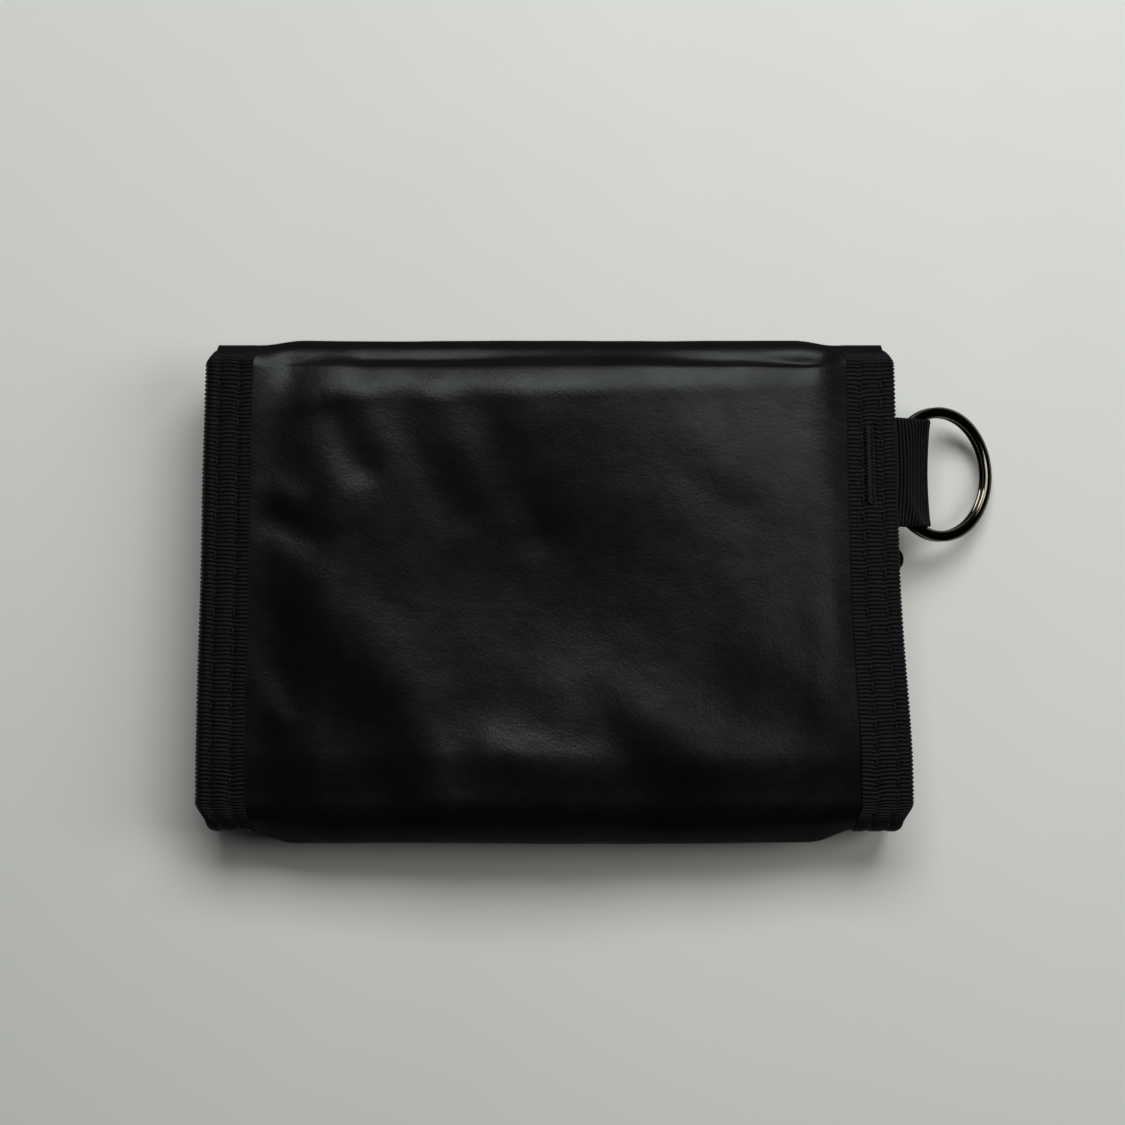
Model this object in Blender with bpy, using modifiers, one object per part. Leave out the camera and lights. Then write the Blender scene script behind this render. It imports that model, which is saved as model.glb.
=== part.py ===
"""A trifold wallet, folded shut and lying on its outer flap, as separate sewn pieces.

Frame: +X is the wallet's top edge, where the banknotes go in and the key ring hangs. +Y is
the fold of the inner flap, -Y the fold of the outer flap, +Z is up. The origin is the middle
of the outer flap's outside face, on which the wallet lies. Lengths are in millimetres here
and become metres when a mesh is made.
"""

import math

import bmesh
import bpy
from mathutils import Matrix, Vector

MM = 0.001

# ---------------------------------------------------------------- driving dimensions (mm)
HALF_LENGTH = 63.0  # half the wallet's length along X, at y = 0
TAPER = 0.00037  # the wallet is this much narrower for each mm towards +Y
CLOSED_HEIGHT = 20.0  # outside of the outer flap to outside of the middle panel
SHELL = 0.6  # thickness of the outside fabric
PANEL = 0.3  # thickness of the inner panel and the card slots
TAPE = 0.4  # thickness of the binding tape
TAPE_WIDTH = 8.8  # how far the binding tape reaches in over a panel
GAP = 0.2  # clearance between layers that are sewn together
LAYER_EDGE = HALF_LENGTH - TAPE - 2 * GAP  # layers end here, inside their binding
EDGE_DROP = 0.6  # how far the shell sinks where the binding grips it
SIDE_RAMP = (44.0, 48.3)  # |x| over which the layers close up towards a bound edge

# Outer fold: two quarter turns with a flat spine between them.
OUTER_RADIUS = 7.0
OUTER_CENTRE_Y = -38.0
OUTER_PANEL_START = -37.6  # panels begin here, clear of the fold
# Inner fold: a half turn, split in its middle.
INNER_CENTRE_Y = 39.95
INNER_PANEL_END = 39.6
INNER_FLAP_Z = 8.9  # outside face of the inner flap, which looks down
INNER_RADIUS = (CLOSED_HEIGHT - INNER_FLAP_Z) / 2
INNER_CENTRE_Z = (CLOSED_HEIGHT + INNER_FLAP_Z) / 2
# A quarter turn of radius R unrolls about a point this share of R out from its centre.
CREASE_SHARE = math.pi / 4

OUTER_FLAP_TIP = 39.0
INNER_FLAP_TIP = -20.4
TIP_RAMP = 2.0  # the shell sinks over this length at a flap's bound tip
TIP_TAPE = 6.0  # how far the tip's binding reaches in

# Surfaces that face the shell: (in the middle, at a bound side)
OUTER_LINING_Z = (1.0, 2.6)
INNER_LINING_Z = (9.9, 11.4)
MIDDLE_LINING_Z = 13.8
MIDDLE_LINING_BOTTOM_Z = 17.2  # at the -X side, where every layer is in one binding
MIDDLE_LINING_TOP_Z = 13.4  # at the +X side, below the banknote mouth
LINING_TOP_X = 56.7  # the inner panel is this much shorter than the shell at +X

# Coin pocket on the outer flap: a skin over the lining, with a zip across it.
POCKET_TOP_Z = 6.5
POCKET_SIDE_Z = 3.5
POCKET_SKIN = 0.4
POCKET_BACK_Y = -34.0  # the skin is sewn down here, near the outer fold
POCKET_LOW_Y = -24.0  # it lies low up to here
POCKET_FULL_Y = -14.0  # and has its full height from here
POCKET_BACK_Z = 2.1
POCKET_LOW_Z = 3.0
ZIP_Y = 5.6
ZIP_OPENING = 3.8  # from the zip's middle to each skin's edge
ZIP_TAPE_REACH = (1.9, 8.0)  # from the zip's middle to a zip tape's two edges
ZIP_TAPE_HALF = 46.5
COIL_HALF = 44.0  # half the coils' length
COIL_REACH = (0.5, 1.7)
COIL_Z = (4.6, 6.0)
STOP_LENGTH = 1.8
STOP_HALF_WIDTH = 1.7
STOP_Z = (4.7, 6.1)

RING_CENTRE = Vector((71.8, 21.2, 8.1))
RING_TILT = math.radians(33.0)
RING_RADIUS = 11.4  # to the middle of the wire
RING_WIRE = 2.1  # both turns together, square
WEBBING_WIDTH = 19.5
WEBBING = 0.7
LOOP_CLEARANCE = 2.2  # middle of the webbing to the middle of the ring's wire
LOOP_HINGE = Vector((63.3, 21.2, 16.6))

BARTACK_X = (57.6, 59.2)
BARTACK_HALF = 7.5
BARTACK_Z = (0.03, 0.35)  # above the middle panel

SLIDER_X = 39.5
SLIDER_HALF_LENGTH = 4.5
SLIDER_HALF_WIDTH = 3.4
SLIDER_LOW_Z = (3.5, 4.2)  # the plate under the coils
SLIDER_HIGH_Z = (6.3, 7.0)  # the plate over them
SLIDER_FLANGE = 0.7
BRIDGE_Z = (8.0, 8.5)  # the bridge that holds the pull
BRIDGE_HALF_WIDTH = 0.4
PULL_PIVOT_X = 43.6
PULL_TIP_X = 65.2
PULL_Z = 7.25
PULL_THICKNESS = 0.55
PULL_HALF_WIDTH = 2.4
PULL_EYE = 1.3  # half the hole round the bridge's post

# Card slots under the middle panel: where each one's mouth is, and how far apart they lie.
SLOT_MOUTHS = (41.0, 29.0, 17.0)
SLOT_STEP = 0.55
SLOT_ROWS = (-35.0, 36.0)


def crease(centre_y, centre_z, radius, side_y, side_z):
    """The line about which a quarter turn of fabric unrolls."""
    reach = radius * CREASE_SHARE
    return Vector((0.0, centre_y + side_y * reach, centre_z + side_z * reach))


OUTER_LOW_CREASE = crease(OUTER_CENTRE_Y, OUTER_RADIUS, OUTER_RADIUS, -1, -1)
OUTER_HIGH_CREASE = crease(OUTER_CENTRE_Y, CLOSED_HEIGHT - OUTER_RADIUS, OUTER_RADIUS, -1, 1)
INNER_HIGH_CREASE = crease(INNER_CENTRE_Y, INNER_CENTRE_Z, INNER_RADIUS, 1, 1)
INNER_LOW_CREASE = crease(INNER_CENTRE_Y, INNER_CENTRE_Z, INNER_RADIUS, 1, -1)

# ---------------------------------------------------------------- scene, materials, bodies

for old in list(bpy.data.objects):
    bpy.data.objects.remove(old, do_unlink=True)

PARTS = bpy.data.collections.new("trifold_wallet")
bpy.context.scene.collection.children.link(PARTS)


def material(name, colour, roughness, metallic=0.0, alpha=1.0):
    made = bpy.data.materials.new(name)
    made.use_nodes = True
    shader = made.node_tree.nodes["Principled BSDF"]
    shader.inputs["Base Color"].default_value = (*colour, 1.0)
    shader.inputs["Roughness"].default_value = roughness
    shader.inputs["Metallic"].default_value = metallic
    shader.inputs["Alpha"].default_value = alpha
    return made


COATED_FABRIC = material("coated_fabric", (0.018, 0.018, 0.019), 0.5)
LINING_FABRIC = material("lining_fabric", (0.012, 0.012, 0.013), 0.75)
GROSGRAIN = material("grosgrain", (0.014, 0.015, 0.019), 0.7)
WEBBING_FABRIC = material("webbing", (0.012, 0.012, 0.014), 0.7)
ZIP_NYLON = material("zip_nylon", (0.01, 0.01, 0.011), 0.4)
FASTENER = material("hook_and_loop", (0.01, 0.01, 0.01), 0.9)
CLEAR_VINYL = material("clear_vinyl", (0.8, 0.82, 0.85), 0.1, alpha=0.3)
BLACK_NICKEL = material("black_nickel", (0.08, 0.08, 0.085), 0.2, metallic=1.0)
THREAD = material("thread", (0.01, 0.01, 0.011), 0.8)


def body(name, place, parent=None):
    """An empty on a body's joint axis, which carries the body's pieces."""
    empty = bpy.data.objects.new(name, None)
    empty.location = place * MM
    PARTS.objects.link(empty)
    if parent:
        empty.parent = parent
        empty.location = (place - BODY_PLACE[parent.name]) * MM
    BODY_PLACE[name] = place
    return empty


BODY_PLACE = {}
OUTER_FLAP = body("body_outer_flap", Vector((0, 0, 0)))
OUTER_FOLD = body("body_outer_fold", OUTER_LOW_CREASE, OUTER_FLAP)
MIDDLE = body("body_middle_panel", OUTER_HIGH_CREASE, OUTER_FOLD)
INNER_FOLD = body("body_inner_fold", INNER_HIGH_CREASE, MIDDLE)
INNER_FLAP = body("body_inner_flap", INNER_LOW_CREASE, INNER_FOLD)
ZIP_SLIDER = body("body_zip_slider", Vector((SLIDER_X, ZIP_Y, 5.0)), OUTER_FLAP)
ZIP_PULL = body("body_zip_pull", Vector((PULL_PIVOT_X, ZIP_Y, 7.5)), ZIP_SLIDER)
KEY_LOOP = body("body_key_loop", LOOP_HINGE, MIDDLE)
KEY_RING = body("body_key_ring", RING_CENTRE, KEY_LOOP)


def add(name, mesh, look, owner):
    """A node, its mesh given in metres in the wallet's frame, carried by its body."""
    made = bpy.data.objects.new(name, mesh)
    mesh.materials.append(look)
    mesh.transform(Matrix.Translation(-BODY_PLACE[owner.name] * MM))
    made.parent = owner
    PARTS.objects.link(made)
    return made


# ---------------------------------------------------------------- shape helpers

def ramp(value, start, end):
    """0 up to start, 1 from end on, straight between."""
    return min(1.0, max(0.0, (value - start) / (end - start)))


def side(x):
    """0 over the middle of a panel, 1 where its side is bound."""
    return ramp(abs(x), *SIDE_RAMP)


def tapered(x, y):
    return x * (1.0 - TAPER * y)


def sheet(name, look, owner, columns, rows, point, thickness, grow=-1):
    """Fabric: a grid over columns (x) and rows, thickened against (-1) or along (1) its normal.

    point(x, row) gives the surface in mm. Normals are +X crossed with the rows' direction.
    """
    shape = bmesh.new()
    bmesh.ops.create_grid(shape, x_segments=len(columns) - 1, y_segments=len(rows) - 1, size=1.0)
    for vertex in shape.verts:
        column = round((vertex.co.x + 1) / 2 * (len(columns) - 1))
        row = round((vertex.co.y + 1) / 2 * (len(rows) - 1))
        x, y, z = point(columns[column], rows[row])
        vertex.co = Vector((tapered(x, y), y, z)) * MM
    mesh = bpy.data.meshes.new(name)
    shape.to_mesh(mesh)
    shape.free()
    made = add(name, mesh, look, owner)
    solid = made.modifiers.new("thickness", "SOLIDIFY")
    solid.thickness = thickness * MM
    solid.offset = grow
    solid.use_even_offset = True
    return made


def columns_between(low, high):
    """The x stations that a layer needs from low to high."""
    start, end = SIDE_RAMP
    inner = [x for x in (-end, -start, start, end) if low < x < high]
    return [low, *inner, high]


SHELL_COLUMNS = columns_between(-LAYER_EDGE, LAYER_EDGE)
LINING_COLUMNS = columns_between(-LAYER_EDGE, LINING_TOP_X)


def binding(name, owner, outside, inside, rows, inner_x, outer_x):
    """A tape folded over a side edge.

    outside(row) and inside(row) give the (y, z) of the outermost layer's outer face and of
    the innermost layer's inner face along the edge, and the tape lies GAP clear of both.
    """
    turn = math.copysign(1.0, outer_x - inner_x)
    bend = TAPE + GAP
    profile = ((inner_x, 0), (outer_x - turn * bend, 0), (outer_x, 1), (outer_x, 2),
               (outer_x - turn * bend, 3), (inner_x, 3))
    shape = bmesh.new()
    bmesh.ops.create_grid(shape, x_segments=len(profile) - 1, y_segments=len(rows) - 1, size=1.0)
    for vertex in shape.verts:
        x, level = profile[round((vertex.co.x + 1) / 2 * (len(profile) - 1))]
        row = rows[round((vertex.co.y + 1) / 2 * (len(rows) - 1))]
        outer = Vector(outside(row))
        inner = Vector(inside(row))
        across = (inner - outer).normalized()
        top = outer - across * (TAPE + GAP)
        bottom = inner + across * (TAPE + GAP)
        y, z = (top, top + across * bend, bottom - across * bend, bottom)[level]
        vertex.co = Vector((tapered(x, y), y, z)) * MM
    mesh = bpy.data.meshes.new(name)
    shape.to_mesh(mesh)
    shape.free()
    made = add(name, mesh, GROSGRAIN, owner)
    solid = made.modifiers.new("thickness", "SOLIDIFY")
    solid.thickness = TAPE * MM
    solid.offset = -turn
    solid.use_even_offset = True
    return made


def tip_binding(name, owner, tip_y, inward, low_z, high_z, rows_x):
    """A tape folded over a flap's tip, running along X."""
    base_y = tip_y + inward * TIP_TAPE
    end_y = tip_y - inward * (TAPE + GAP)
    bend = 0.6
    profile = [(base_y, low_z), (end_y + inward * bend, low_z), (end_y, low_z + bend),
               (end_y, high_z - bend), (end_y + inward * bend, high_z), (base_y, high_z)]
    shape = bmesh.new()
    bmesh.ops.create_grid(shape, x_segments=1, y_segments=len(profile) - 1, size=1.0)
    for vertex in shape.verts:
        x = rows_x * round(vertex.co.x)
        y, z = profile[round((vertex.co.y + 1) / 2 * (len(profile) - 1))]
        vertex.co = Vector((tapered(x, y), y, z)) * MM
    mesh = bpy.data.meshes.new(name)
    shape.to_mesh(mesh)
    shape.free()
    made = add(name, mesh, GROSGRAIN, owner)
    solid = made.modifiers.new("thickness", "SOLIDIFY")
    solid.thickness = TAPE * MM
    solid.offset = inward
    solid.use_even_offset = True
    return made


def block(name, look, owner, low, high, rounded=0.0):
    """A box between two corners, with its edges rounded."""
    shape = bmesh.new()
    bmesh.ops.create_cube(shape, size=1.0)
    low = Vector(low)
    high = Vector(high)
    for vertex in shape.verts:
        unit = vertex.co + Vector((0.5, 0.5, 0.5))
        vertex.co = Vector([low[i] + (high[i] - low[i]) * unit[i] for i in range(3)]) * MM
    mesh = bpy.data.meshes.new(name)
    shape.to_mesh(mesh)
    shape.free()
    made = add(name, mesh, look, owner)
    if rounded:
        edges = made.modifiers.new("edges", "BEVEL")
        edges.width = rounded * MM
        edges.segments = 2
        edges.limit_method = "ANGLE"
    return made


def cut(target, cutter, operation="DIFFERENCE"):
    cutter.hide_render = True
    cutter.display_type = "WIRE"
    PARTS.objects.unlink(cutter)
    CUTTERS.objects.link(cutter)
    step = target.modifiers.new(cutter.name, "BOOLEAN")
    step.operation = operation
    step.solver = "EXACT"
    step.object = cutter


CUTTERS = bpy.data.collections.new("cutters")
bpy.context.scene.collection.children.link(CUTTERS)

# ---------------------------------------------------------------- folds


def arc(centre_y, centre_z, radius, start, end, steps):
    """(y, z) points along an arc, angles in degrees."""
    turns = [math.radians(start + (end - start) * i / steps) for i in range(steps + 1)]
    return [(centre_y + radius * math.cos(t), centre_z + radius * math.sin(t)) for t in turns]


def outer_fold_line(sink):
    """The shell's path round the outer fold, from below to above, sunk towards its inside."""
    radius = OUTER_RADIUS - sink
    low = arc(OUTER_CENTRE_Y, OUTER_RADIUS, radius, 270, 180, 6)
    high = arc(OUTER_CENTRE_Y, CLOSED_HEIGHT - OUTER_RADIUS, radius, 180, 90, 6)
    return low + high


def inner_fold_line(sink):
    """The shell's path round the inner fold, from above to below."""
    return arc(INNER_CENTRE_Y, INNER_CENTRE_Z, INNER_RADIUS - sink, 90, -90, 12)


OUTER_ROWS = range(len(outer_fold_line(0)))
INNER_ROWS = range(len(inner_fold_line(0)))
HALF_WAVE = 10  # steps along the inner panel's turn


def lining_turn(start_y, bulge, start_z, end_z, step):
    """The inner panel's softer turn inside a fold: bulge is how far it reaches out."""
    share = step / HALF_WAVE
    y = start_y + bulge * math.sin(math.pi * share) ** 0.7
    z = start_z + (end_z - start_z) * (1 - math.cos(math.pi * share)) / 2
    return y, z


def outer_lining_turn(x, step):
    edge = side(x)
    end = MIDDLE_LINING_BOTTOM_Z if x < 0 else MIDDLE_LINING_TOP_Z
    start_z = OUTER_LINING_Z[0] + (OUTER_LINING_Z[1] - OUTER_LINING_Z[0]) * edge
    end_z = MIDDLE_LINING_Z + (end - MIDDLE_LINING_Z) * edge
    return lining_turn(-37.9, -4.9 + 0.8 * edge, start_z, end_z, step)


def inner_lining_turn(x, step):
    edge = side(x)
    end = MIDDLE_LINING_BOTTOM_Z if x < 0 else MIDDLE_LINING_TOP_Z
    start_z = MIDDLE_LINING_Z + (end - MIDDLE_LINING_Z) * edge
    end_z = INNER_LINING_Z[0] + (INNER_LINING_Z[1] - INNER_LINING_Z[0]) * edge
    return lining_turn(39.9, 2.4 - 0.9 * edge if x > 0 else 2.4 + 0.6 * edge, start_z, end_z, step)


def inset(turn, end, count, row, depth=PANEL):
    """A point on the inner panel's turn at one end of it, sunk by depth."""
    step = HALF_WAVE * row / count
    x = end * HALF_LENGTH
    here = Vector(turn(x, step))
    before = Vector(turn(x, max(step - 0.25, 0)))
    after = Vector(turn(x, min(step + 0.25, HALF_WAVE)))
    along = (after - before).normalized()
    normal = Vector((-along.y, along.x))
    return tuple(here - normal * depth)


def build_fold(prefix, owner, line, rows, turn):
    """One fold: the shell, the inner panel and the bindings along both edges."""
    def shell_point(x, row):
        return x, *line(EDGE_DROP * side(x))[row]

    sheet(prefix + "_shell", COATED_FABRIC, owner, SHELL_COLUMNS, list(rows), shell_point, SHELL)
    steps = list(range(HALF_WAVE + 1))
    sheet(prefix + "_lining", LINING_FABRIC, owner, LINING_COLUMNS, steps,
          lambda x, step: (x, *turn(x, step)), PANEL)
    shell_in = EDGE_DROP + SHELL
    binding(prefix + "_top_binding", owner,
            lambda row: line(EDGE_DROP)[row], lambda row: line(shell_in)[row], list(rows),
            HALF_LENGTH - TAPE_WIDTH, HALF_LENGTH)
    count = len(rows) - 1
    skin = [inset(turn, -1.0, count, row) for row in rows]
    binding(prefix + "_bottom_binding", owner,
            lambda row: line(EDGE_DROP)[row], lambda row: skin[row], list(rows),
            TAPE_WIDTH - HALF_LENGTH, -HALF_LENGTH)
    rim = LINING_TOP_X + TAPE + GAP
    faces = [(inset(turn, 1.0, HALF_WAVE, row, 0.0), inset(turn, 1.0, HALF_WAVE, row))
             for row in steps]
    binding(prefix + "_lining_binding", owner,
            lambda row: faces[row][0], lambda row: faces[row][1], steps,
            rim - TAPE_WIDTH, rim)


build_fold("outer_fold", OUTER_FOLD, outer_fold_line, OUTER_ROWS, outer_lining_turn)
build_fold("inner_fold", INNER_FOLD, inner_fold_line, INNER_ROWS, inner_lining_turn)

# ---------------------------------------------------------------- panels


def level(pair, amount):
    return pair[0] + (pair[1] - pair[0]) * amount


def build_outer_flap():
    tip = OUTER_FLAP_TIP
    rows = [tip, tip - TIP_TAPE, tip - TIP_TAPE - TIP_RAMP, OUTER_PANEL_START]

    def edge(x, y):
        return max(side(x), ramp(y, rows[2], rows[1]))

    sheet("outer_flap_shell", COATED_FABRIC, OUTER_FLAP, SHELL_COLUMNS, rows,
          lambda x, y: (x, y, EDGE_DROP * edge(x, y)), SHELL)
    sheet("outer_flap_lining", LINING_FABRIC, OUTER_FLAP, LINING_COLUMNS, rows,
          lambda x, y: (x, y, level(OUTER_LINING_Z, edge(x, y))), PANEL)
    side_rows = [tip - TIP_TAPE - GAP, OUTER_PANEL_START]
    skin_top = POCKET_SIDE_Z
    binding("outer_flap_bottom_binding", OUTER_FLAP, lambda y: (y, EDGE_DROP),
            lambda y: (y, skin_top), side_rows, TAPE_WIDTH - HALF_LENGTH, -HALF_LENGTH)
    binding("outer_flap_top_binding", OUTER_FLAP, lambda y: (y, EDGE_DROP),
            lambda y: (y, EDGE_DROP + SHELL), side_rows, HALF_LENGTH - TAPE_WIDTH, HALF_LENGTH)
    rim = LINING_TOP_X + TAPE + GAP
    binding("outer_flap_pocket_binding", OUTER_FLAP, lambda y: (y, OUTER_LINING_Z[1]),
            lambda y: (y, skin_top), side_rows, rim - TAPE_WIDTH, rim)
    tip_binding("outer_flap_end_binding", OUTER_FLAP, tip, -1, 0.0,
                skin_top + TAPE + GAP, HALF_LENGTH)


def pocket_height(x, y):
    """Top of the coin pocket's skin: full in the middle, low at its sewn sides and ends."""
    tip_share = ramp(OUTER_FLAP_TIP - y, TIP_TAPE + 0.5, TIP_TAPE + 3.0)
    middle = POCKET_SIDE_Z + (POCKET_TOP_Z - POCKET_SIDE_Z) * tip_share
    if y < POCKET_FULL_Y:
        middle = POCKET_LOW_Z + (POCKET_TOP_Z - POCKET_LOW_Z) * ramp(y, POCKET_LOW_Y, POCKET_FULL_Y)
    if y < POCKET_LOW_Y:
        middle = POCKET_BACK_Z + (POCKET_LOW_Z - POCKET_BACK_Z) * ramp(y, POCKET_BACK_Y, POCKET_LOW_Y)
    return POCKET_SIDE_Z * side(x) + middle * (1 - side(x))


def build_coin_pocket():
    def skin(x, y):
        return x, y, pocket_height(x, y)

    sheet("coin_pocket_panel_a", LINING_FABRIC, OUTER_FLAP, LINING_COLUMNS,
          [POCKET_BACK_Y, POCKET_LOW_Y, POCKET_FULL_Y, ZIP_Y - ZIP_OPENING], skin, POCKET_SKIN)
    sheet("coin_pocket_panel_b", LINING_FABRIC, OUTER_FLAP, LINING_COLUMNS,
          [ZIP_Y + ZIP_OPENING, 30.0, OUTER_FLAP_TIP - TIP_TAPE - 0.5, OUTER_FLAP_TIP], skin, POCKET_SKIN)
    tape_top = POCKET_TOP_Z - POCKET_SKIN - 0.5
    tape_columns = [-ZIP_TAPE_HALF, -SIDE_RAMP[0], SIDE_RAMP[0], ZIP_TAPE_HALF]
    near, far = ZIP_TAPE_REACH
    for letter, low, high in (("a", ZIP_Y - far, ZIP_Y - near), ("b", ZIP_Y + near, ZIP_Y + far)):
        sheet("zipper_tape_" + letter, LINING_FABRIC, OUTER_FLAP, tape_columns, [low, high],
              lambda x, y: (x, y, tape_top - 3.0 * side(x)), PANEL)
    near, far = COIL_REACH
    for letter, low, high in (("a", ZIP_Y - far, ZIP_Y - near), ("b", ZIP_Y + near, ZIP_Y + far)):
        block("zipper_coil_" + letter, ZIP_NYLON, OUTER_FLAP,
              (-COIL_HALF, low, COIL_Z[0]), (COIL_HALF, high, COIL_Z[1]), 0.25)
    stop_start = COIL_HALF + 0.3
    for name, low, high in (("zipper_top_stop", stop_start, stop_start + STOP_LENGTH),
                            ("zipper_bottom_stop", -stop_start - STOP_LENGTH, -stop_start)):
        block(name, BLACK_NICKEL, OUTER_FLAP, (low, ZIP_Y - STOP_HALF_WIDTH, STOP_Z[0]),
              (high, ZIP_Y + STOP_HALF_WIDTH, STOP_Z[1]), 0.3)
    block("hook_patch", FASTENER, OUTER_FLAP, (-30, 18.0, 6.8), (30, 29.0, 7.4))


def join_blocks(name, look, owner, boxes):
    """One solid from boxes that overlap each other."""
    made = block(name, look, owner, *boxes[0])
    for number, box in enumerate(boxes[1:]):
        cut(made, block(f"{name}_add_{number}", look, owner, *box), "UNION")
    return made


def build_zip_slider():
    back = SLIDER_X - SLIDER_HALF_LENGTH
    front = SLIDER_X + SLIDER_HALF_LENGTH
    low_y = ZIP_Y - SLIDER_HALF_WIDTH
    high_y = ZIP_Y + SLIDER_HALF_WIDTH
    top_z = SLIDER_HIGH_Z[0] + 0.3
    flange_z = SLIDER_HIGH_Z[0] - 0.45
    bridge_low = ZIP_Y - BRIDGE_HALF_WIDTH
    bridge_high = ZIP_Y + BRIDGE_HALF_WIDTH
    back_post = (SLIDER_X - 2.6, SLIDER_X - 1.8)
    front_post = (PULL_PIVOT_X - 0.4, PULL_PIVOT_X + 0.4)
    post_z = BRIDGE_Z[0] + 0.3
    join_blocks("zipper_slider_body", BLACK_NICKEL, ZIP_SLIDER, [
        ((back, low_y, SLIDER_HIGH_Z[0]), (front, high_y, SLIDER_HIGH_Z[1])),
        ((back, low_y, SLIDER_LOW_Z[0]), (front, high_y, SLIDER_LOW_Z[1])),
        ((SLIDER_X + 1.0, ZIP_Y - 0.3, SLIDER_LOW_Z[0] + 0.3), (SLIDER_X + 3.4, ZIP_Y + 0.3, top_z)),
        ((back + 0.5, low_y, flange_z), (front - 0.5, low_y + SLIDER_FLANGE, top_z)),
        ((back + 0.5, high_y - SLIDER_FLANGE, flange_z), (front - 0.5, high_y, top_z)),
        ((back_post[0], bridge_low, top_z), (back_post[1], bridge_high, post_z)),
        ((front_post[0], bridge_low, top_z), (front_post[1], bridge_high, post_z)),
        ((back_post[0], bridge_low, BRIDGE_Z[0]), (front_post[1], bridge_high, BRIDGE_Z[1])),
    ])


def build_zip_pull():
    eye_end_x = PULL_PIVOT_X - 2.2 + PULL_HALF_WIDTH
    tip_end_x = PULL_TIP_X - PULL_HALF_WIDTH
    outline = bmesh.new()
    bmesh.ops.create_circle(outline, cap_ends=True, segments=24, radius=PULL_HALF_WIDTH)
    for vertex in outline.verts:
        end_x = tip_end_x if vertex.co.x > 0 else eye_end_x
        vertex.co = Vector((end_x + vertex.co.x, ZIP_Y + vertex.co.y, PULL_Z)) * MM
    mesh = bpy.data.meshes.new("zipper_pull_tab")
    outline.to_mesh(mesh)
    outline.free()
    pull = add("zipper_pull_tab", mesh, BLACK_NICKEL, ZIP_PULL)
    solid = pull.modifiers.new("thickness", "SOLIDIFY")
    solid.thickness = PULL_THICKNESS * MM
    solid.offset = 1.0
    below, above = PULL_Z - 1.0, PULL_Z + 1.5
    cut(pull, block("pull_eye", BLACK_NICKEL, ZIP_PULL,
                    (PULL_PIVOT_X - PULL_EYE, ZIP_Y - PULL_EYE, below),
                    (PULL_PIVOT_X + PULL_EYE, ZIP_Y + PULL_EYE, above)))
    cut(pull, block("pull_slot", BLACK_NICKEL, ZIP_PULL,
                    (PULL_TIP_X - 5.4, ZIP_Y - 1.0, below), (PULL_TIP_X - 1.6, ZIP_Y + 1.0, above)))


def build_middle_panel():
    rows = [OUTER_PANEL_START, INNER_PANEL_END]
    sheet("middle_shell", COATED_FABRIC, MIDDLE, SHELL_COLUMNS, rows,
          lambda x, y: (x, y, CLOSED_HEIGHT - EDGE_DROP * side(x)), SHELL)

    def lining_z(x):
        end = MIDDLE_LINING_BOTTOM_Z if x < 0 else MIDDLE_LINING_TOP_Z
        return MIDDLE_LINING_Z + (end - MIDDLE_LINING_Z) * side(x)

    sheet("middle_lining", LINING_FABRIC, MIDDLE, LINING_COLUMNS, rows,
          lambda x, y: (x, y, lining_z(x)), PANEL)
    for number, mouth_x in enumerate(SLOT_MOUTHS, start=1):
        drop = SLOT_STEP * number
        sheet(f"card_slot_{number}", LINING_FABRIC, MIDDLE, columns_between(-LAYER_EDGE, mouth_x), SLOT_ROWS,
              lambda x, y, drop=drop: (x, y, lining_z(x) - drop), PANEL)
    lowest = MIDDLE_LINING_BOTTOM_Z - len(SLOT_MOUTHS) * SLOT_STEP - PANEL
    top = CLOSED_HEIGHT - EDGE_DROP
    binding("middle_bottom_binding", MIDDLE, lambda y: (y, top), lambda y: (y, lowest), rows,
            TAPE_WIDTH - HALF_LENGTH, -HALF_LENGTH)
    binding("middle_top_binding", MIDDLE, lambda y: (y, top), lambda y: (y, top - SHELL), rows,
            HALF_LENGTH - TAPE_WIDTH, HALF_LENGTH)
    rim = LINING_TOP_X + TAPE + GAP
    binding("middle_pocket_binding", MIDDLE, lambda y: (y, MIDDLE_LINING_TOP_Z),
            lambda y: (y, MIDDLE_LINING_TOP_Z - PANEL), rows, rim - TAPE_WIDTH, rim)
    bar_y = RING_CENTRE.y
    block("key_loop_bartack", THREAD, MIDDLE,
          (BARTACK_X[0], bar_y - BARTACK_HALF, CLOSED_HEIGHT + BARTACK_Z[0]),
          (BARTACK_X[1], bar_y + BARTACK_HALF, CLOSED_HEIGHT + BARTACK_Z[1]))


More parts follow.
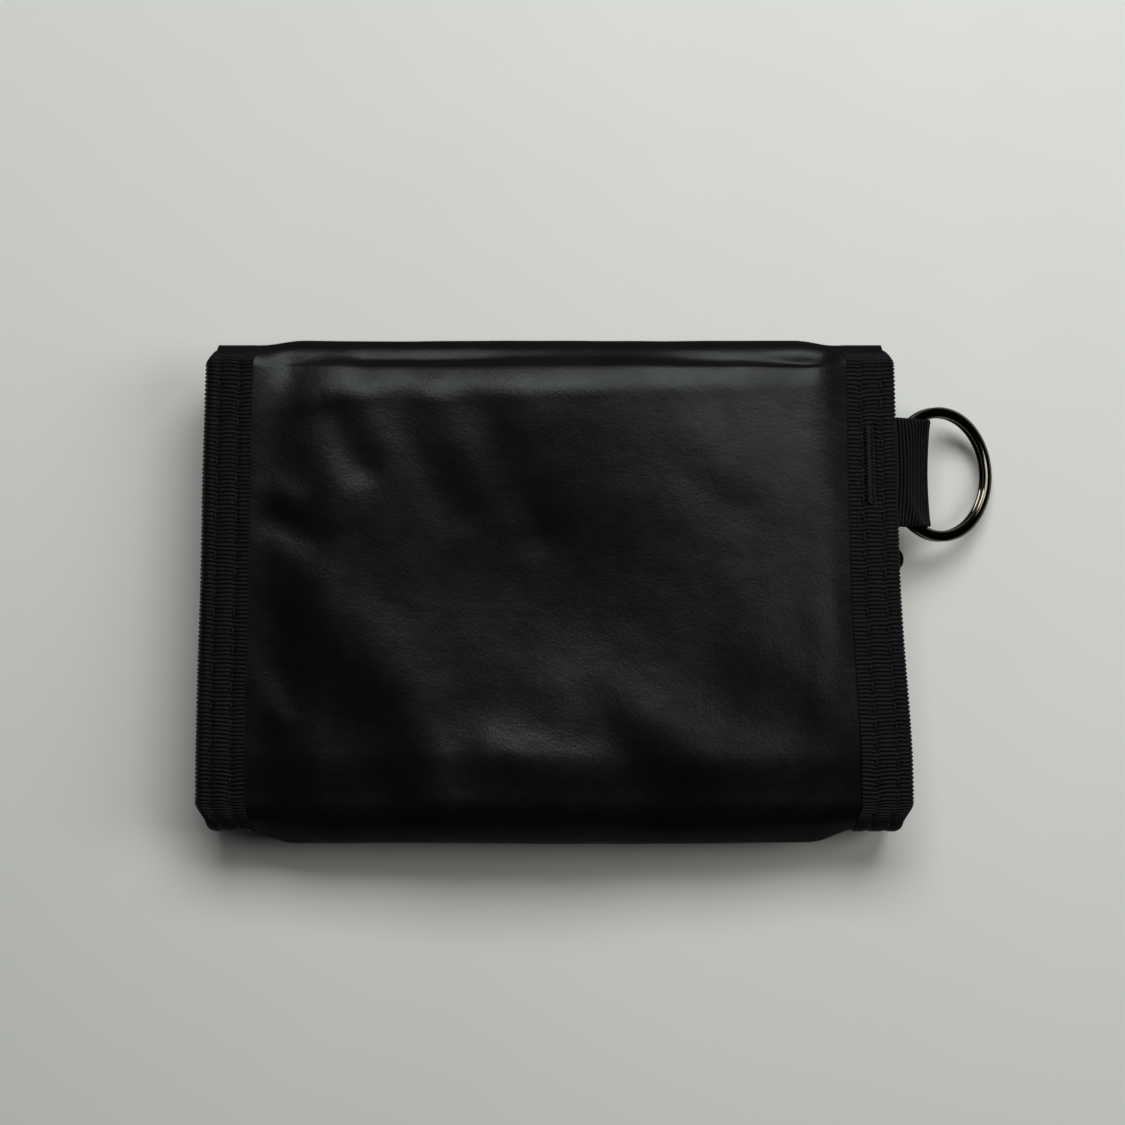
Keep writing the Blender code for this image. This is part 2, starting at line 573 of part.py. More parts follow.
def build_inner_flap():
    tip = INNER_FLAP_TIP
    rows = [INNER_PANEL_END, tip + TIP_TAPE + TIP_RAMP, tip + TIP_TAPE, tip]

    def tip_share(y):
        return ramp(-y, -rows[1], -rows[2])

    def lining_z(x, y):
        flat = level(INNER_LINING_Z, side(x))
        return flat + (INNER_LINING_Z[0] + 0.3 - flat) * tip_share(y)

    sheet("inner_flap_shell", COATED_FABRIC, INNER_FLAP, SHELL_COLUMNS, rows,
          lambda x, y: (x, y, INNER_FLAP_Z + EDGE_DROP * max(side(x), tip_share(y))), SHELL)
    sheet("inner_flap_lining", LINING_FABRIC, INNER_FLAP, LINING_COLUMNS, rows,
          lambda x, y: (x, y, lining_z(x, y)), PANEL)
    side_rows = [INNER_PANEL_END, tip + TIP_TAPE + TIP_RAMP + GAP]
    shell_z = INNER_FLAP_Z + EDGE_DROP
    lining_top = INNER_LINING_Z[1] + PANEL
    binding("inner_flap_bottom_binding", INNER_FLAP, lambda y: (y, shell_z),
            lambda y: (y, lining_top), side_rows, TAPE_WIDTH - HALF_LENGTH, -HALF_LENGTH)
    binding("inner_flap_top_binding", INNER_FLAP, lambda y: (y, shell_z),
            lambda y: (y, shell_z + SHELL), side_rows, HALF_LENGTH - TAPE_WIDTH, HALF_LENGTH)
    rim = LINING_TOP_X + TAPE + GAP
    binding("inner_flap_pocket_binding", INNER_FLAP, lambda y: (y, INNER_LINING_Z[1]),
            lambda y: (y, lining_top), side_rows, rim - TAPE_WIDTH, rim)
    tip_binding("inner_flap_end_binding", INNER_FLAP, tip, 1, INNER_FLAP_Z,
                INNER_LINING_Z[0] + 0.3 + PANEL + TAPE + GAP, HALF_LENGTH)
    block("id_window", CLEAR_VINYL, INNER_FLAP, (-41, -9.5, 10.45), (41, 35.5, 10.65))
    frame = block("id_window_frame", LINING_FABRIC, INNER_FLAP, (-43, -11.5, 10.9), (43, 37.5, 11.25))
    cut(frame, block("window_hole", LINING_FABRIC, INNER_FLAP, (-36, -5.0, 10), (36, 31.0, 12)))
    block("loop_patch", FASTENER, INNER_FLAP, (-30, 18.0, 7.9), (30, 32.0, 8.6))


# ---------------------------------------------------------------- key loop and ring


def build_key_loop():
    """A strap folded round the ring's wire, its two ends under the middle panel's binding."""
    wire_edge = RING_RADIUS - RING_WIRE / 2
    reach = math.sqrt(wire_edge ** 2 - (WEBBING_WIDTH / 2) ** 2) + 1.3
    slope = Vector((math.cos(RING_TILT), -math.sin(RING_TILT)))
    up = Vector((math.sin(RING_TILT), math.cos(RING_TILT)))
    centre = Vector((RING_CENTRE.x, RING_CENTRE.z))
    near = centre - slope * RING_RADIUS
    far = centre - slope * reach
    start = math.atan2(up.y, up.x)
    far_turn = [far + LOOP_CLEARANCE * Vector((math.cos(start - math.pi * i / 6),
                                               math.sin(start - math.pi * i / 6)))
                for i in range(7)]
    near_turn = [near + LOOP_CLEARANCE * Vector((math.cos(start - math.pi - i * math.pi / 7.5),
                                                 math.sin(start - math.pi - i * math.pi / 7.5)))
                 for i in range(5)]
    path = [Vector((58.0, 17.55)), Vector((61.6, 17.45)), Vector((63.2, 16.9)),
            *far_turn, *near_turn, Vector((59.9, 16.55)), Vector((58.0, 16.6))]
    shape = bmesh.new()
    bmesh.ops.create_grid(shape, x_segments=1, y_segments=len(path) - 1, size=1.0)
    for vertex in shape.verts:
        x, z = path[round((vertex.co.y + 1) / 2 * (len(path) - 1))]
        y = RING_CENTRE.y + WEBBING_WIDTH / 2 * round(vertex.co.x)
        vertex.co = Vector((x, y, z)) * MM
    mesh = bpy.data.meshes.new("key_loop_webbing")
    shape.to_mesh(mesh)
    shape.free()
    webbing = add("key_loop_webbing", mesh, WEBBING_FABRIC, KEY_LOOP)
    solid = webbing.modifiers.new("thickness", "SOLIDIFY")
    solid.thickness = WEBBING * MM
    solid.offset = 0.0
    solid.use_even_offset = True


def build_key_ring():
    """A split ring: two turns of flat wire that lie on each other, as one square section."""
    shape = bmesh.new()
    half = RING_WIRE / 2
    corners = [(RING_RADIUS - half, -half), (RING_RADIUS + half, -half),
               (RING_RADIUS + half, half), (RING_RADIUS - half, half)]
    loop = [shape.verts.new(Vector((radius, 0, z)) * MM) for radius, z in corners]
    for i in range(4):
        shape.edges.new((loop[i], loop[(i + 1) % 4]))
    mesh = bpy.data.meshes.new("key_ring")
    shape.to_mesh(mesh)
    shape.free()
    ring = bpy.data.objects.new("key_ring", mesh)
    mesh.materials.append(BLACK_NICKEL)
    ring.parent = KEY_RING
    ring.rotation_euler = (0.0, RING_TILT, 0.0)
    PARTS.objects.link(ring)
    turn = ring.modifiers.new("turn", "SCREW")
    turn.steps = 48
    turn.render_steps = 48
    turn.use_merge_vertices = True
    turn.merge_threshold = 0.00001
    turn.use_normal_flip = True
    edges = ring.modifiers.new("edges", "BEVEL")
    edges.width = 0.35 * MM
    edges.segments = 1
    edges.limit_method = "ANGLE"


build_outer_flap()
build_coin_pocket()
build_zip_slider()
build_zip_pull()
build_middle_panel()
build_inner_flap()
build_key_loop()
build_key_ring()
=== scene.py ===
"""The looks of the trifold wallet: woven tape, coated fabric, thread, metal, on a pale table.

Lengths are in millimetres in the wallet's frame (+X key ring side, +Y inner fold, +Z up) and
become metres when a mesh is made. A strip that runs round the wallet is measured by s, the
length along the shell's outside from the middle of the outer fold: positive over the middle
panel and the inner flap, negative over the outer flap.
"""

import math

import bpy
import numpy as np
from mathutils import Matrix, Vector


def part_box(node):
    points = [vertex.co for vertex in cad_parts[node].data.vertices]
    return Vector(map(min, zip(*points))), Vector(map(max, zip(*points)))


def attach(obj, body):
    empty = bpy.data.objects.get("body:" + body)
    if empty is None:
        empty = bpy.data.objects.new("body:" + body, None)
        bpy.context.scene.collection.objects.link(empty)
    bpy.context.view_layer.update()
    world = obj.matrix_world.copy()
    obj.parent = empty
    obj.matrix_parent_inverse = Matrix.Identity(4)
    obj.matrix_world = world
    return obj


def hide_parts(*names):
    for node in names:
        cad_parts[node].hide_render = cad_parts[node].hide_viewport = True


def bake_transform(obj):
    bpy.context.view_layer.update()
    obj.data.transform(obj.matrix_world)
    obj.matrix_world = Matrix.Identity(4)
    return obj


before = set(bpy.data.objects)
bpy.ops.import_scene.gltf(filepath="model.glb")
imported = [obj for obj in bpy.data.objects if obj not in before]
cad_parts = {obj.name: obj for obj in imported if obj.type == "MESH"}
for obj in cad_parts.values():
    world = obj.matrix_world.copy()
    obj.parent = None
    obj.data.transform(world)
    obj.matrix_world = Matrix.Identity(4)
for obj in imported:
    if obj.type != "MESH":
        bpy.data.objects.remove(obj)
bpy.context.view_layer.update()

MM = 0.001
RANDOM = np.random.default_rng(7)

# ------------------------------------------------------------------ sizes from the frame


def box_mm(node):
    low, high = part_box(node)
    return np.array(low) / MM, np.array(high) / MM


SHELL_LOW, SHELL_HIGH = box_mm("middle_shell")
CLOSED_HEIGHT = round(float(SHELL_HIGH[2]), 3)
OUTER_START = round(float(SHELL_LOW[1]), 3) - 0.4  # where the outer fold's turn begins
INNER_START = round(float(SHELL_HIGH[1]), 3) + 0.35  # where the inner fold's turn begins
OUTER_REACH = -float(box_mm("outer_fold_shell")[0][1])
OUTER_RADIUS = OUTER_REACH + OUTER_START
INNER_FLAP_Z = round(float(box_mm("inner_flap_shell")[0][2]), 3)
INNER_RADIUS = (CLOSED_HEIGHT - INNER_FLAP_Z) / 2
OUTER_TIP = float(box_mm("outer_flap_end_binding")[1][1])
INNER_TIP = float(box_mm("inner_flap_end_binding")[0][1])
HALF_LENGTH = 63.0
TAPER = 0.00037
TAPE_WIDTH = 8.8
TAPE = 0.45
SHELL = 0.6
EDGE_SINK = 1.15  # how far the shell sinks under its binding
RIB_PITCH = 0.75
RIB_HEIGHT = 0.30
WEBBING_PITCH = 0.85
WEBBING_BOW = 0.0058

# The strip's length coordinate at its landmarks.
HALF_SPINE = CLOSED_HEIGHT / 2 - OUTER_RADIUS
OUTER_TURN = OUTER_RADIUS * math.pi / 2
INNER_TURN = INNER_RADIUS * math.pi / 2
S_MIDDLE = HALF_SPINE + OUTER_TURN
S_INNER = S_MIDDLE + INNER_START - OUTER_START
S_HALF_TURN = S_INNER + INNER_TURN
S_FLAP = S_HALF_TURN + INNER_TURN
S_INNER_TIP = S_FLAP + INNER_START - INNER_TIP
S_OUTER_TIP = -(S_MIDDLE + OUTER_TIP - OUTER_START)


def smooth(value, start, end):
    """0 before start, 1 after end, an even S between."""
    t = np.clip((value - start) / (end - start), 0.0, 1.0)
    return t * t * (3 - 2 * t)


def spot(x, y, z):
    """Points from their coordinates."""
    return np.stack(np.broadcast_arrays(x, y, z), -1)


def path(s):
    """The shell's outside at length s: y, z and the outward normal's y, z."""
    s = np.asarray(s, float)
    a = np.abs(s)
    turn = np.clip((a - HALF_SPINE) / OUTER_RADIUS, 0, math.pi / 2)
    y = OUTER_START - OUTER_RADIUS * np.cos(turn) + np.maximum(a - S_MIDDLE, 0)
    z = HALF_SPINE - np.maximum(HALF_SPINE - a, 0) + OUTER_RADIUS * np.sin(turn)
    ny, nz = -np.cos(turn), np.sin(turn)
    z = CLOSED_HEIGHT / 2 + np.sign(s) * z
    nz = nz * np.sign(s)
    half = np.clip((s - S_INNER) / INNER_RADIUS, 0, math.pi)
    beyond = s > S_INNER
    centre_z = (CLOSED_HEIGHT + INNER_FLAP_Z) / 2
    y = np.where(beyond, INNER_START + INNER_RADIUS * np.sin(half) - np.maximum(s - S_FLAP, 0), y)
    z = np.where(beyond, centre_z + INNER_RADIUS * np.cos(half), z)
    ny = np.where(beyond, np.sin(half), ny)
    nz = np.where(beyond, np.cos(half), nz)
    return y, z, ny, nz


def tapered(x, y):
    """x on the wallet, which narrows towards +Y, flares near the outer fold and is pinched in folds."""
    flare = 1.5 * smooth(-y, -8, 38) * smooth(x, 38, 60)
    pinch = (1.7 * smooth(-y, 38.5, 44.5) + 0.9 * smooth(y, 40.5, 44.5)) * smooth(np.abs(x), 47, 61)
    return x * (1 - TAPER * y) + flare - np.sign(x) * pinch


def on_wallet(x, y, z):
    """Points of the wallet, given as if it were straight-sided."""
    return spot(tapered(x, y), y, z)


# ------------------------------------------------------------------ how the layers lie

CREASES = {  # joint bodies and the stretch over which a piece turns from one to the other
    "outer_low": ("outer_flap", "outer_fold", (-38.4, 2.6), (-43.6, 8.8)),
    "outer_high": ("outer_fold", "middle_panel", (-43.6, 11.2), (-38.4, 17.4)),
    "inner_high": ("middle_panel", "inner_fold", (39.8, 17.0), (43.6, 14.2)),
    "inner_low": ("inner_fold", "inner_flap", (43.6, 14.7), (39.8, 11.9)),
    "lining_outer_low": ("outer_flap", "outer_fold", (-38.2, 2.2), (-42.6, 6.6)),
    "lining_outer_high": ("outer_fold", "middle_panel", (-42.6, 8.4), (-38.4, 13.0)),
    "lining_inner_high": ("middle_panel", "inner_fold", (40.0, 13.6), (42.0, 12.2)),
    "lining_inner_low": ("inner_fold", "inner_flap", (42.0, 11.6), (40.1, 10.2)),
}

STRIP = (  # part of the strip, from s, to s, the crease that it turns round
    ("outer_flap", S_OUTER_TIP, 0.0, "outer_low"),
    ("middle", 0.0, S_INNER, "outer_high"),
    ("inner_fold", S_INNER, S_HALF_TURN, "inner_high"),
    ("inner_flap", S_HALF_TURN, S_INNER_TIP, "inner_low"),
)

# Soft ridges (positive) and valleys (negative) of the middle panel: height, half width, (x, y) points
RIDGES = (
    (0.50, 3.2, ((-55, 17), (-50, 17.5), (-47, 16))),
    (0.10, 5.4, ((-46, 25), (-40, 20), (-33, 13))),
    (0.56, 6.0, ((-49, 6), (-43, 0), (-37, -6), (-31, -12), (-25, -20), (-22, -28))),
    (2.80, 9.5, ((-17, -41), (-6, -40), (5, -41))),
    (0.85, 5.0, ((-10, -29), (-4, -30), (4, -32), (10, -32))),
    (1.10, 10.5, ((5, -24), (12, -24), (16, -25))),
    (0.70, 6.0, ((18, -25), (27, -32))),
    (1.15, 23.0, ((26, -14), (35, -12))),
    (0.35, 3.0, ((-56, -14), (-51, -19), (-48, -24))),
    (0.28, 2.6, ((54, -16), (52.5, -23), (54, -29))),
    (-0.55, 3.8, ((-40, 31), (-37, 26), (-34, 22))),
    (-0.45, 4.6, ((-28, 33), (-24, 24), (-17, 14))),
    (-0.50, 5.4, ((-14, 33), (-9, 24), (-2, 10))),
    (-1.60, 17.0, ((-10, 2), (2, 0))),
    (-0.25, 4.6, ((24, 20), (30, 16), (35, 15))),
    (-0.60, 6.4, ((35, -20), (42, -25))),
    (-0.45, 3.4, ((-56, 13), (-49, 12), (-43, 9))),
    (-0.60, 7.0, ((-46, -16), (-36, -24), (-30, -33))),
)


def distance_to(points, x, y):
    """Distance from (x, y) to a bent line."""
    best = np.full(np.broadcast(x, y).shape, 1e9)
    for (ax, ay), (bx, by) in zip(points, points[1:]):
        dx, dy = bx - ax, by - ay
        t = np.clip(((x - ax) * dx + (y - ay) * dy) / (dx * dx + dy * dy), 0, 1)
        best = np.minimum(best, np.hypot(x - ax - t * dx, y - ay - t * dy))
    return best


def waves(x, y, size, seed):
    """Slow uneven swelling, from -1 to 1: a few sine waves in odd directions."""
    spread = np.random.default_rng(seed)
    total = 0.0
    for _ in range(7):
        angle, phase = spread.uniform(0, math.pi), spread.uniform(0, 2 * math.pi)
        length = size * spread.uniform(0.6, 1.8)
        along = x * math.cos(angle) + y * math.sin(angle)
        total = total + np.sin(along * 2 * math.pi / length + phase)
    return total / 4.5


def side_sink(x, s):
    """How far the shell has sunk towards its bound sides, with small puckers where the tape grips it."""
    edge = HALF_LENGTH - TAPE_WIDTH
    level = edge - 3.6
    side = np.sign(x)
    soft = np.where(x > 0, 19.0, 12.0) + 3.0 * waves(s, side * 9, 40, 3)
    sink = 1.22 * smooth(np.abs(x), level - soft, level) - 0.22 * smooth(np.abs(x), level, edge + 1)
    flap_sink = smooth(np.abs(x), edge - 9, edge)
    on_middle = smooth(s, -2, 5) * (1 - smooth(s, S_INNER + 1, S_HALF_TURN + 2))
    sink = EDGE_SINK * (flap_sink + (sink - flap_sink) * on_middle)
    near = smooth(np.abs(x), edge - 8, edge - 0.5) * (1 - smooth(np.abs(x), edge, edge + 2))
    pucker = waves(s, s * 0.2 + side * 31, 13, 8) * np.clip(waves(s, side * 5, 45, 9) + 0.4, 0, 1)
    return sink + 0.15 * near * pucker


def panel_relief(x, s):
    """Wrinkles and swelling of the coated fabric, outward in mm."""
    y = path(s)[0]
    free = 1 - smooth(np.abs(x), 47.0, 55.5)
    on_middle = smooth(s, 1, S_MIDDLE + 1) * (1 - smooth(s, S_INNER - 6, S_INNER + 1))
    relief = 0.0
    for height, width, points in RIDGES:
        relief = relief + height * np.exp(-((distance_to(points, x, y) / width) ** 2))
    relief = relief * on_middle + 0.14 * waves(x, s, 34, 11) + 0.03 * waves(x, s, 11, 12)
    # The panel droops towards the outer fold, which bulges, and turns over early at the inner fold.
    bulge = 1.5 * smooth(s, -S_MIDDLE, -3) * smooth(-s, -S_MIDDLE + 1, 0)
    start = S_INNER + np.interp(x, (-52, -45, -38, -17, 35, 52), (-5.8, -5.0, -3.4, -3.4, -1.0, -0.6))
    deep = np.interp(x, (-52, -44, -34, 0, 30), (1.2, 2.1, 3.4, 3.3, 2.3))
    lean = 1.6 * smooth(x, 6, 34) * smooth(s, S_INNER - 27, S_INNER + 2)  # one corner lies lower
    turn_over = deep * smooth(s, start - 3.0, start + 9.4) + lean
    turn_over = turn_over * (1 - smooth(s, S_INNER + 1, S_HALF_TURN + 2))
    gathers = 0.13 * waves(x, s * 0.4, 12, 5) * np.exp(-(((s - S_INNER - 3) / 4) ** 2))
    return (relief + bulge + gathers - turn_over) * free - fold_droop(s)


def fold_droop(s):
    """How far the whole strip, its edges too, lies inside the outer fold's ideal path."""
    return 0.9 * smooth(-s, -S_MIDDLE - 9, -S_MIDDLE + 1) * smooth(s, -1, 6)


def shell_point(x, s, depth=0.0):
    """A point of the shell: x along the wallet, s round it, depth under its outside."""
    y, z, ny, nz = path(s)
    out = panel_relief(x, s) - side_sink(x, s) - depth
    inner_tip = smooth(s, S_INNER_TIP - 8, S_INNER_TIP - 5.5)
    outer_tip = smooth(-s, -S_OUTER_TIP - 8, -S_OUTER_TIP - 5.5)
    out = out - 0.6 * (inner_tip + outer_tip) * (1 - smooth(np.abs(x), 47, 53))
    on_table = smooth(-s, S_MIDDLE - 4, S_MIDDLE + 3)
    out = out * (1 - on_table) + np.minimum(out, -0.02 - depth) * on_table
    return spot(tapered(x, y), y + ny * out, z + nz * out)


# ------------------------------------------------------------------ mesh building


def unit(vectors):
    return vectors / np.maximum(np.linalg.norm(vectors, axis=-1, keepdims=True), 1e-12)


def normals_of(grid):
    """A grid of points without its outermost ring, and its unit normals."""
    normal = unit(np.cross(np.gradient(grid, axis=0), np.gradient(grid, axis=1)))
    return grid[1:-1, 1:-1], normal[1:-1, 1:-1]


def widened(values):
    """The values with one more step before and after."""
    return np.concatenate([[2 * values[0] - values[1]], values, [2 * values[-1] - values[-2]]])


def slab(name, us, vs, front, back, look):
    """A closed sheet between two surfaces: front(u, v) and back(u, v) give points in mm.

    Its shading normals come from the surfaces beyond its edges too, so neighbours shade as one.
    """
    us, vs = np.asarray(us, float), np.asarray(vs, float)
    uu, vv = np.meshgrid(widened(us), widened(vs), indexing="ij")
    top, top_n = normals_of(front(uu, vv))
    bottom, bottom_n = normals_of(back(uu, vv))
    nu, nv = len(us), len(vs)
    outward = np.einsum("ijk,ijk->ij", top - bottom, top_n).mean()
    if outward < 0:
        top_n, bottom_n = -top_n, -bottom_n
    bottom_n = -bottom_n
    index = np.arange(nu * nv).reshape(nu, nv)
    a, b, c, d = index[:-1, :-1], index[1:, :-1], index[1:, 1:], index[:-1, 1:]
    quads = np.stack([a, b, c, d], -1).reshape(-1, 4)
    if outward < 0:
        quads = quads[:, ::-1]
    under = quads[:, ::-1] + nu * nv
    rim = np.concatenate([index[:, 0], index[-1, 1:], index[-2::-1, -1], index[0, -2:0:-1]])
    after = np.roll(rim, -1)
    walls = np.stack([after, rim, rim + nu * nv, after + nu * nv], -1)
    if outward < 0:
        walls = walls[:, ::-1]
    faces = np.concatenate([quads, under, walls])
    points = np.concatenate([top.reshape(-1, 3), bottom.reshape(-1, 3)])
    vertex_n = np.concatenate([top_n.reshape(-1, 3), bottom_n.reshape(-1, 3)])
    corner = points[walls]
    wall_n = unit(np.cross(corner[:, 1] - corner[:, 0], corner[:, 3] - corner[:, 0]))
    sheet_n = vertex_n[np.concatenate([quads, under])].reshape(-1, 3)
    loop_n = np.concatenate([sheet_n, np.repeat(wall_n, 4, 0)])
    uv = np.stack(np.meshgrid(us, vs, indexing="ij"), -1).reshape(-1, 2)
    return mesh_object(name, points, faces, look, loop_n, np.concatenate([uv, uv])[faces.reshape(-1)])


def mesh_object(name, points, faces, look, loop_normals=None, loop_uv=None):
    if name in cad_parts:
        name += "_detail"
    mesh = bpy.data.meshes.new(name)
    mesh.from_pydata((np.asarray(points) * MM).tolist(), [], [list(map(int, face)) for face in faces])
    mesh.polygons.foreach_set("use_smooth", np.ones(len(mesh.polygons), bool))
    if loop_uv is not None:
        layer = mesh.uv_layers.new(name="cloth_mm")
        layer.data.foreach_set("uv", np.asarray(loop_uv, np.float32).ravel())
    if loop_normals is not None:
        mesh.normals_split_custom_set(loop_normals.tolist())
    mesh.materials.append(look)
    made = bpy.data.objects.new(name, mesh)
    bpy.context.scene.collection.objects.link(made)
    return made


def tube_faces(rows, sides):
    """Faces of a closed tube of so many rings of points."""
    index = np.arange(rows * sides).reshape(rows, sides)
    after = np.roll(index, -1, axis=1)
    faces = np.stack([index[:-1], after[:-1], after[1:], index[1:]], -1).reshape(-1, 4).tolist()
    return faces + [index[0][::-1].tolist(), index[-1].tolist()]


def tube(centres, radius, sides):
    """Points and faces of a round tube along a line of centres (mm)."""
    centres = np.asarray(centres, float)
    along = unit(np.gradient(centres, axis=0))
    ref = np.array([0.0, 0.0, 1.0]) if abs(along[:, 2]).max() < 0.95 else np.array([0.31, 0.95, 0.05])
    one = unit(np.cross(along, ref))
    two = np.cross(along, one)
    radius = np.broadcast_to(radius, len(centres))[:, None, None]
    angle = np.arange(sides) * 2 * math.pi / sides
    ring = one[:, None] * np.cos(angle)[:, None] + two[:, None] * np.sin(angle)[:, None]
    return (centres[:, None] + ring * radius).reshape(-1, 3), tube_faces(len(centres), sides)


def stitch(line, share, radius, sides):
    """One stitch along a line, thinner where it dives in: share runs from -1 to 1."""
    return tube(line, radius * np.sqrt(np.clip(1.12 - share ** 4, 0, 1)), sides)


def joined(shapes):
    """Several (points, faces) as one."""
    points, faces, start = [], [], 0
    for p, f in shapes:
        points.append(p)
        faces.extend([[i + start for i in face] for face in f])
        start += len(p)
    return np.concatenate(points), faces

# ------------------------------------------------------------------ materials


class Look:
    """A material or world made of nodes: values are numbers, colours or other nodes' outputs."""

    def __init__(self, name, kind=bpy.data.materials, shader="Principled BSDF"):
        self.data = kind.new(name)
        self.data.use_nodes = True
        self.tree = self.data.node_tree
        self.shader = self.tree.nodes[shader]

    def plug(self, socket, value):
        if isinstance(value, bpy.types.NodeSocket):
            self.tree.links.new(value, socket)
        elif isinstance(value, tuple):
            socket.default_value = (*value, 1.0)
        elif value is not None:
            socket.default_value = value

    def set(self, name, value):
        self.plug(self.shader.inputs[name], value)

    def math(self, operation, a, b=None, c=None):
        node = self.tree.nodes.new("ShaderNodeMath")
        node.operation = operation
        for socket, value in zip(node.inputs, (a, b, c)):
            self.plug(socket, value)
        return node.outputs[0]

    def cloth(self):
        """The piece's own coordinates along its threads, in mm."""
        uv = self.tree.nodes.new("ShaderNodeUVMap")
        uv.uv_map = "cloth_mm"
        split = self.tree.nodes.new("ShaderNodeSeparateXYZ")
        self.tree.links.new(uv.outputs[0], split.inputs[0])
        return split.outputs[0], split.outputs[1]

    def noise(self, size_mm, detail=2.0, roughness=0.5, stretch=(1, 1, 1)):
        """Even noise, about 0.5, whose blobs are about size_mm across."""
        place = self.tree.nodes.new("ShaderNodeTexCoord")
        scale = self.tree.nodes.new("ShaderNodeMapping")
        scale.inputs["Scale"].default_value = [1 / (size_mm * MM * s) for s in stretch]
        self.tree.links.new(place.outputs["Object"], scale.inputs["Vector"])
        node = self.tree.nodes.new("ShaderNodeTexNoise")
        self.tree.links.new(scale.outputs[0], node.inputs["Vector"])
        node.inputs["Scale"].default_value = 1.0
        node.inputs["Detail"].default_value = detail
        node.inputs["Roughness"].default_value = roughness
        return node.outputs["Fac"]

    def spread(self, value, low, high, from_low=0.3, from_high=0.7):
        """Maps from_low..from_high to low..high; a noise's values lie about between 0.3 and 0.7."""
        node = self.tree.nodes.new("ShaderNodeMapRange")
        for socket, amount in zip(node.inputs, (value, from_low, from_high, low, high)):
            self.plug(socket, amount)
        return node.outputs[0]

    def mix(self, share, low, high):
        """A colour between two."""
        node = self.tree.nodes.new("ShaderNodeMix")
        node.data_type = "RGBA"
        for socket, value in ((node.inputs[0], share), (node.inputs[6], low), (node.inputs[7], high)):
            self.plug(socket, value)
        return node.outputs[2]

    def vary(self, name, low, high, *noise):
        """Lets a value or a colour wander between two, after a noise made from the rest."""
        blobs = self.noise(*noise)
        if isinstance(low, tuple):
            self.set(name, self.mix(self.spread(blobs, 0, 1), low, high))
        else:
            self.set(name, self.spread(blobs, low, high))

    def bump(self, height, depth_mm, before=None):
        """Raises the surface by height (0 to 1) times depth_mm."""
        node = self.tree.nodes.new("ShaderNodeBump")
        node.inputs["Distance"].default_value = depth_mm * MM
        self.plug(node.inputs["Height"], height)
        self.plug(node.inputs["Normal"], before)
        return node.outputs[0]

    def weave(self, pitch_u, pitch_v):
        """Height of a plain weave: threads over and under, 0 to 1."""
        u, v = self.cloth()
        across = self.math("SINE", self.math("MULTIPLY", u, 2 * math.pi / pitch_u))
        along = self.math("SINE", self.math("MULTIPLY", v, 2 * math.pi / pitch_v))
        return self.math("MULTIPLY_ADD", self.math("MULTIPLY", across, along), 0.5, 0.5)

    def lines(self, which, pitch):
        """Height of fine parallel threads across u (0) or v (1)."""
        wave = self.math("SINE", self.math("MULTIPLY", self.cloth()[which], 2 * math.pi / pitch))
        return self.math("MULTIPLY_ADD", wave, 0.5, 0.5)


def coated_fabric():
    """Black nylon with a soft coating: fine weave, broad sheen, slightly rubbed in patches."""
    look = Look("coated_fabric")
    look.set("Metallic", 0.85)
    look.vary("Base Color", (0.0115, 0.0128, 0.0122), (0.0148, 0.0162, 0.0155), 14, 3)
    look.vary("Roughness", 0.32, 0.39, 5, 4, 0.6)
    look.set("Specular IOR Level", 0.17)
    look.set("Specular Tint", (0.22, 0.22, 0.22))  # little extra sheen at a low angle
    weave = look.bump(look.weave(0.5, 0.5), 0.007)
    grain = look.bump(look.noise(0.55, 3, 0.6), 0.045, weave)
    look.set("Normal", look.bump(look.noise(7), 0.16, grain))
    return look.data


def grosgrain(name, colour, across, painted_gap_shade_pitch=None, gap_bow=0.0):
    """Ribbed tape: the ribs are in the mesh, the fine threads across axis 0 or 1 are here.

    Given the gaps' pitch, the gaps between ribs get painted shade too: darker colour and less sheen,
    bowed by gap_bow mm per mm squared.
    """
    look = Look(name)
    look.set("Specular IOR Level", 0.09)
    darker = tuple(c * 0.7 for c in colour)
    lighter = tuple(c * 1.5 for c in colour)
    cloth_colour = look.mix(look.spread(look.noise(2.2, 4, 0.6), 0, 1), darker, lighter)
    if painted_gap_shade_pitch:
        u, v = look.cloth()
        along = look.math("MULTIPLY_ADD", look.math("MULTIPLY", v, v), gap_bow, u)
        wave = look.math("SINE", look.math("MULTIPLY", along, math.pi / painted_gap_shade_pitch))
        crown = look.math("POWER", look.math("ABSOLUTE", wave), 1.6)
        # painted shade: the gaps between ribs are darkened in colour, and just below their sheen is
        # lowered, to stand for the shade that falls in them
        cloth_colour = look.mix(crown, tuple(c * 0.1 for c in colour), cloth_colour)
        look.set("Specular IOR Level", look.math("MULTIPLY_ADD", crown, 0.11, 0.005))
    look.set("Base Color", cloth_colour)
    look.vary("Roughness", 0.45, 0.62, 1.0)
    look.set("Sheen Weight", 0.01)
    threads = look.bump(look.lines(across, 0.4), 0.012)
    look.set("Normal", look.bump(look.noise(0.35), 0.05, threads))
    return look.data


def lining_fabric():
    look = Look("lining_fabric")
    look.set("Roughness", 0.6)
    look.vary("Base Color", (0.009, 0.009, 0.0105), (0.014, 0.014, 0.016), 9, 3)
    look.set("Sheen Weight", 0.05)
    weave = look.bump(look.weave(0.8, 0.8), 0.05)
    look.set("Normal", look.bump(look.noise(7, 3), 0.35, weave))
    return look.data


def thread():
    look = Look("thread")
    look.set("Roughness", 0.5)
    look.vary("Base Color", (0.0018, 0.0018, 0.0024), (0.0044, 0.0044, 0.0056), 0.8)
    look.set("Specular IOR Level", 0.13)
    look.set("Normal", look.bump(look.noise(0.16), 0.06))
    return look.data


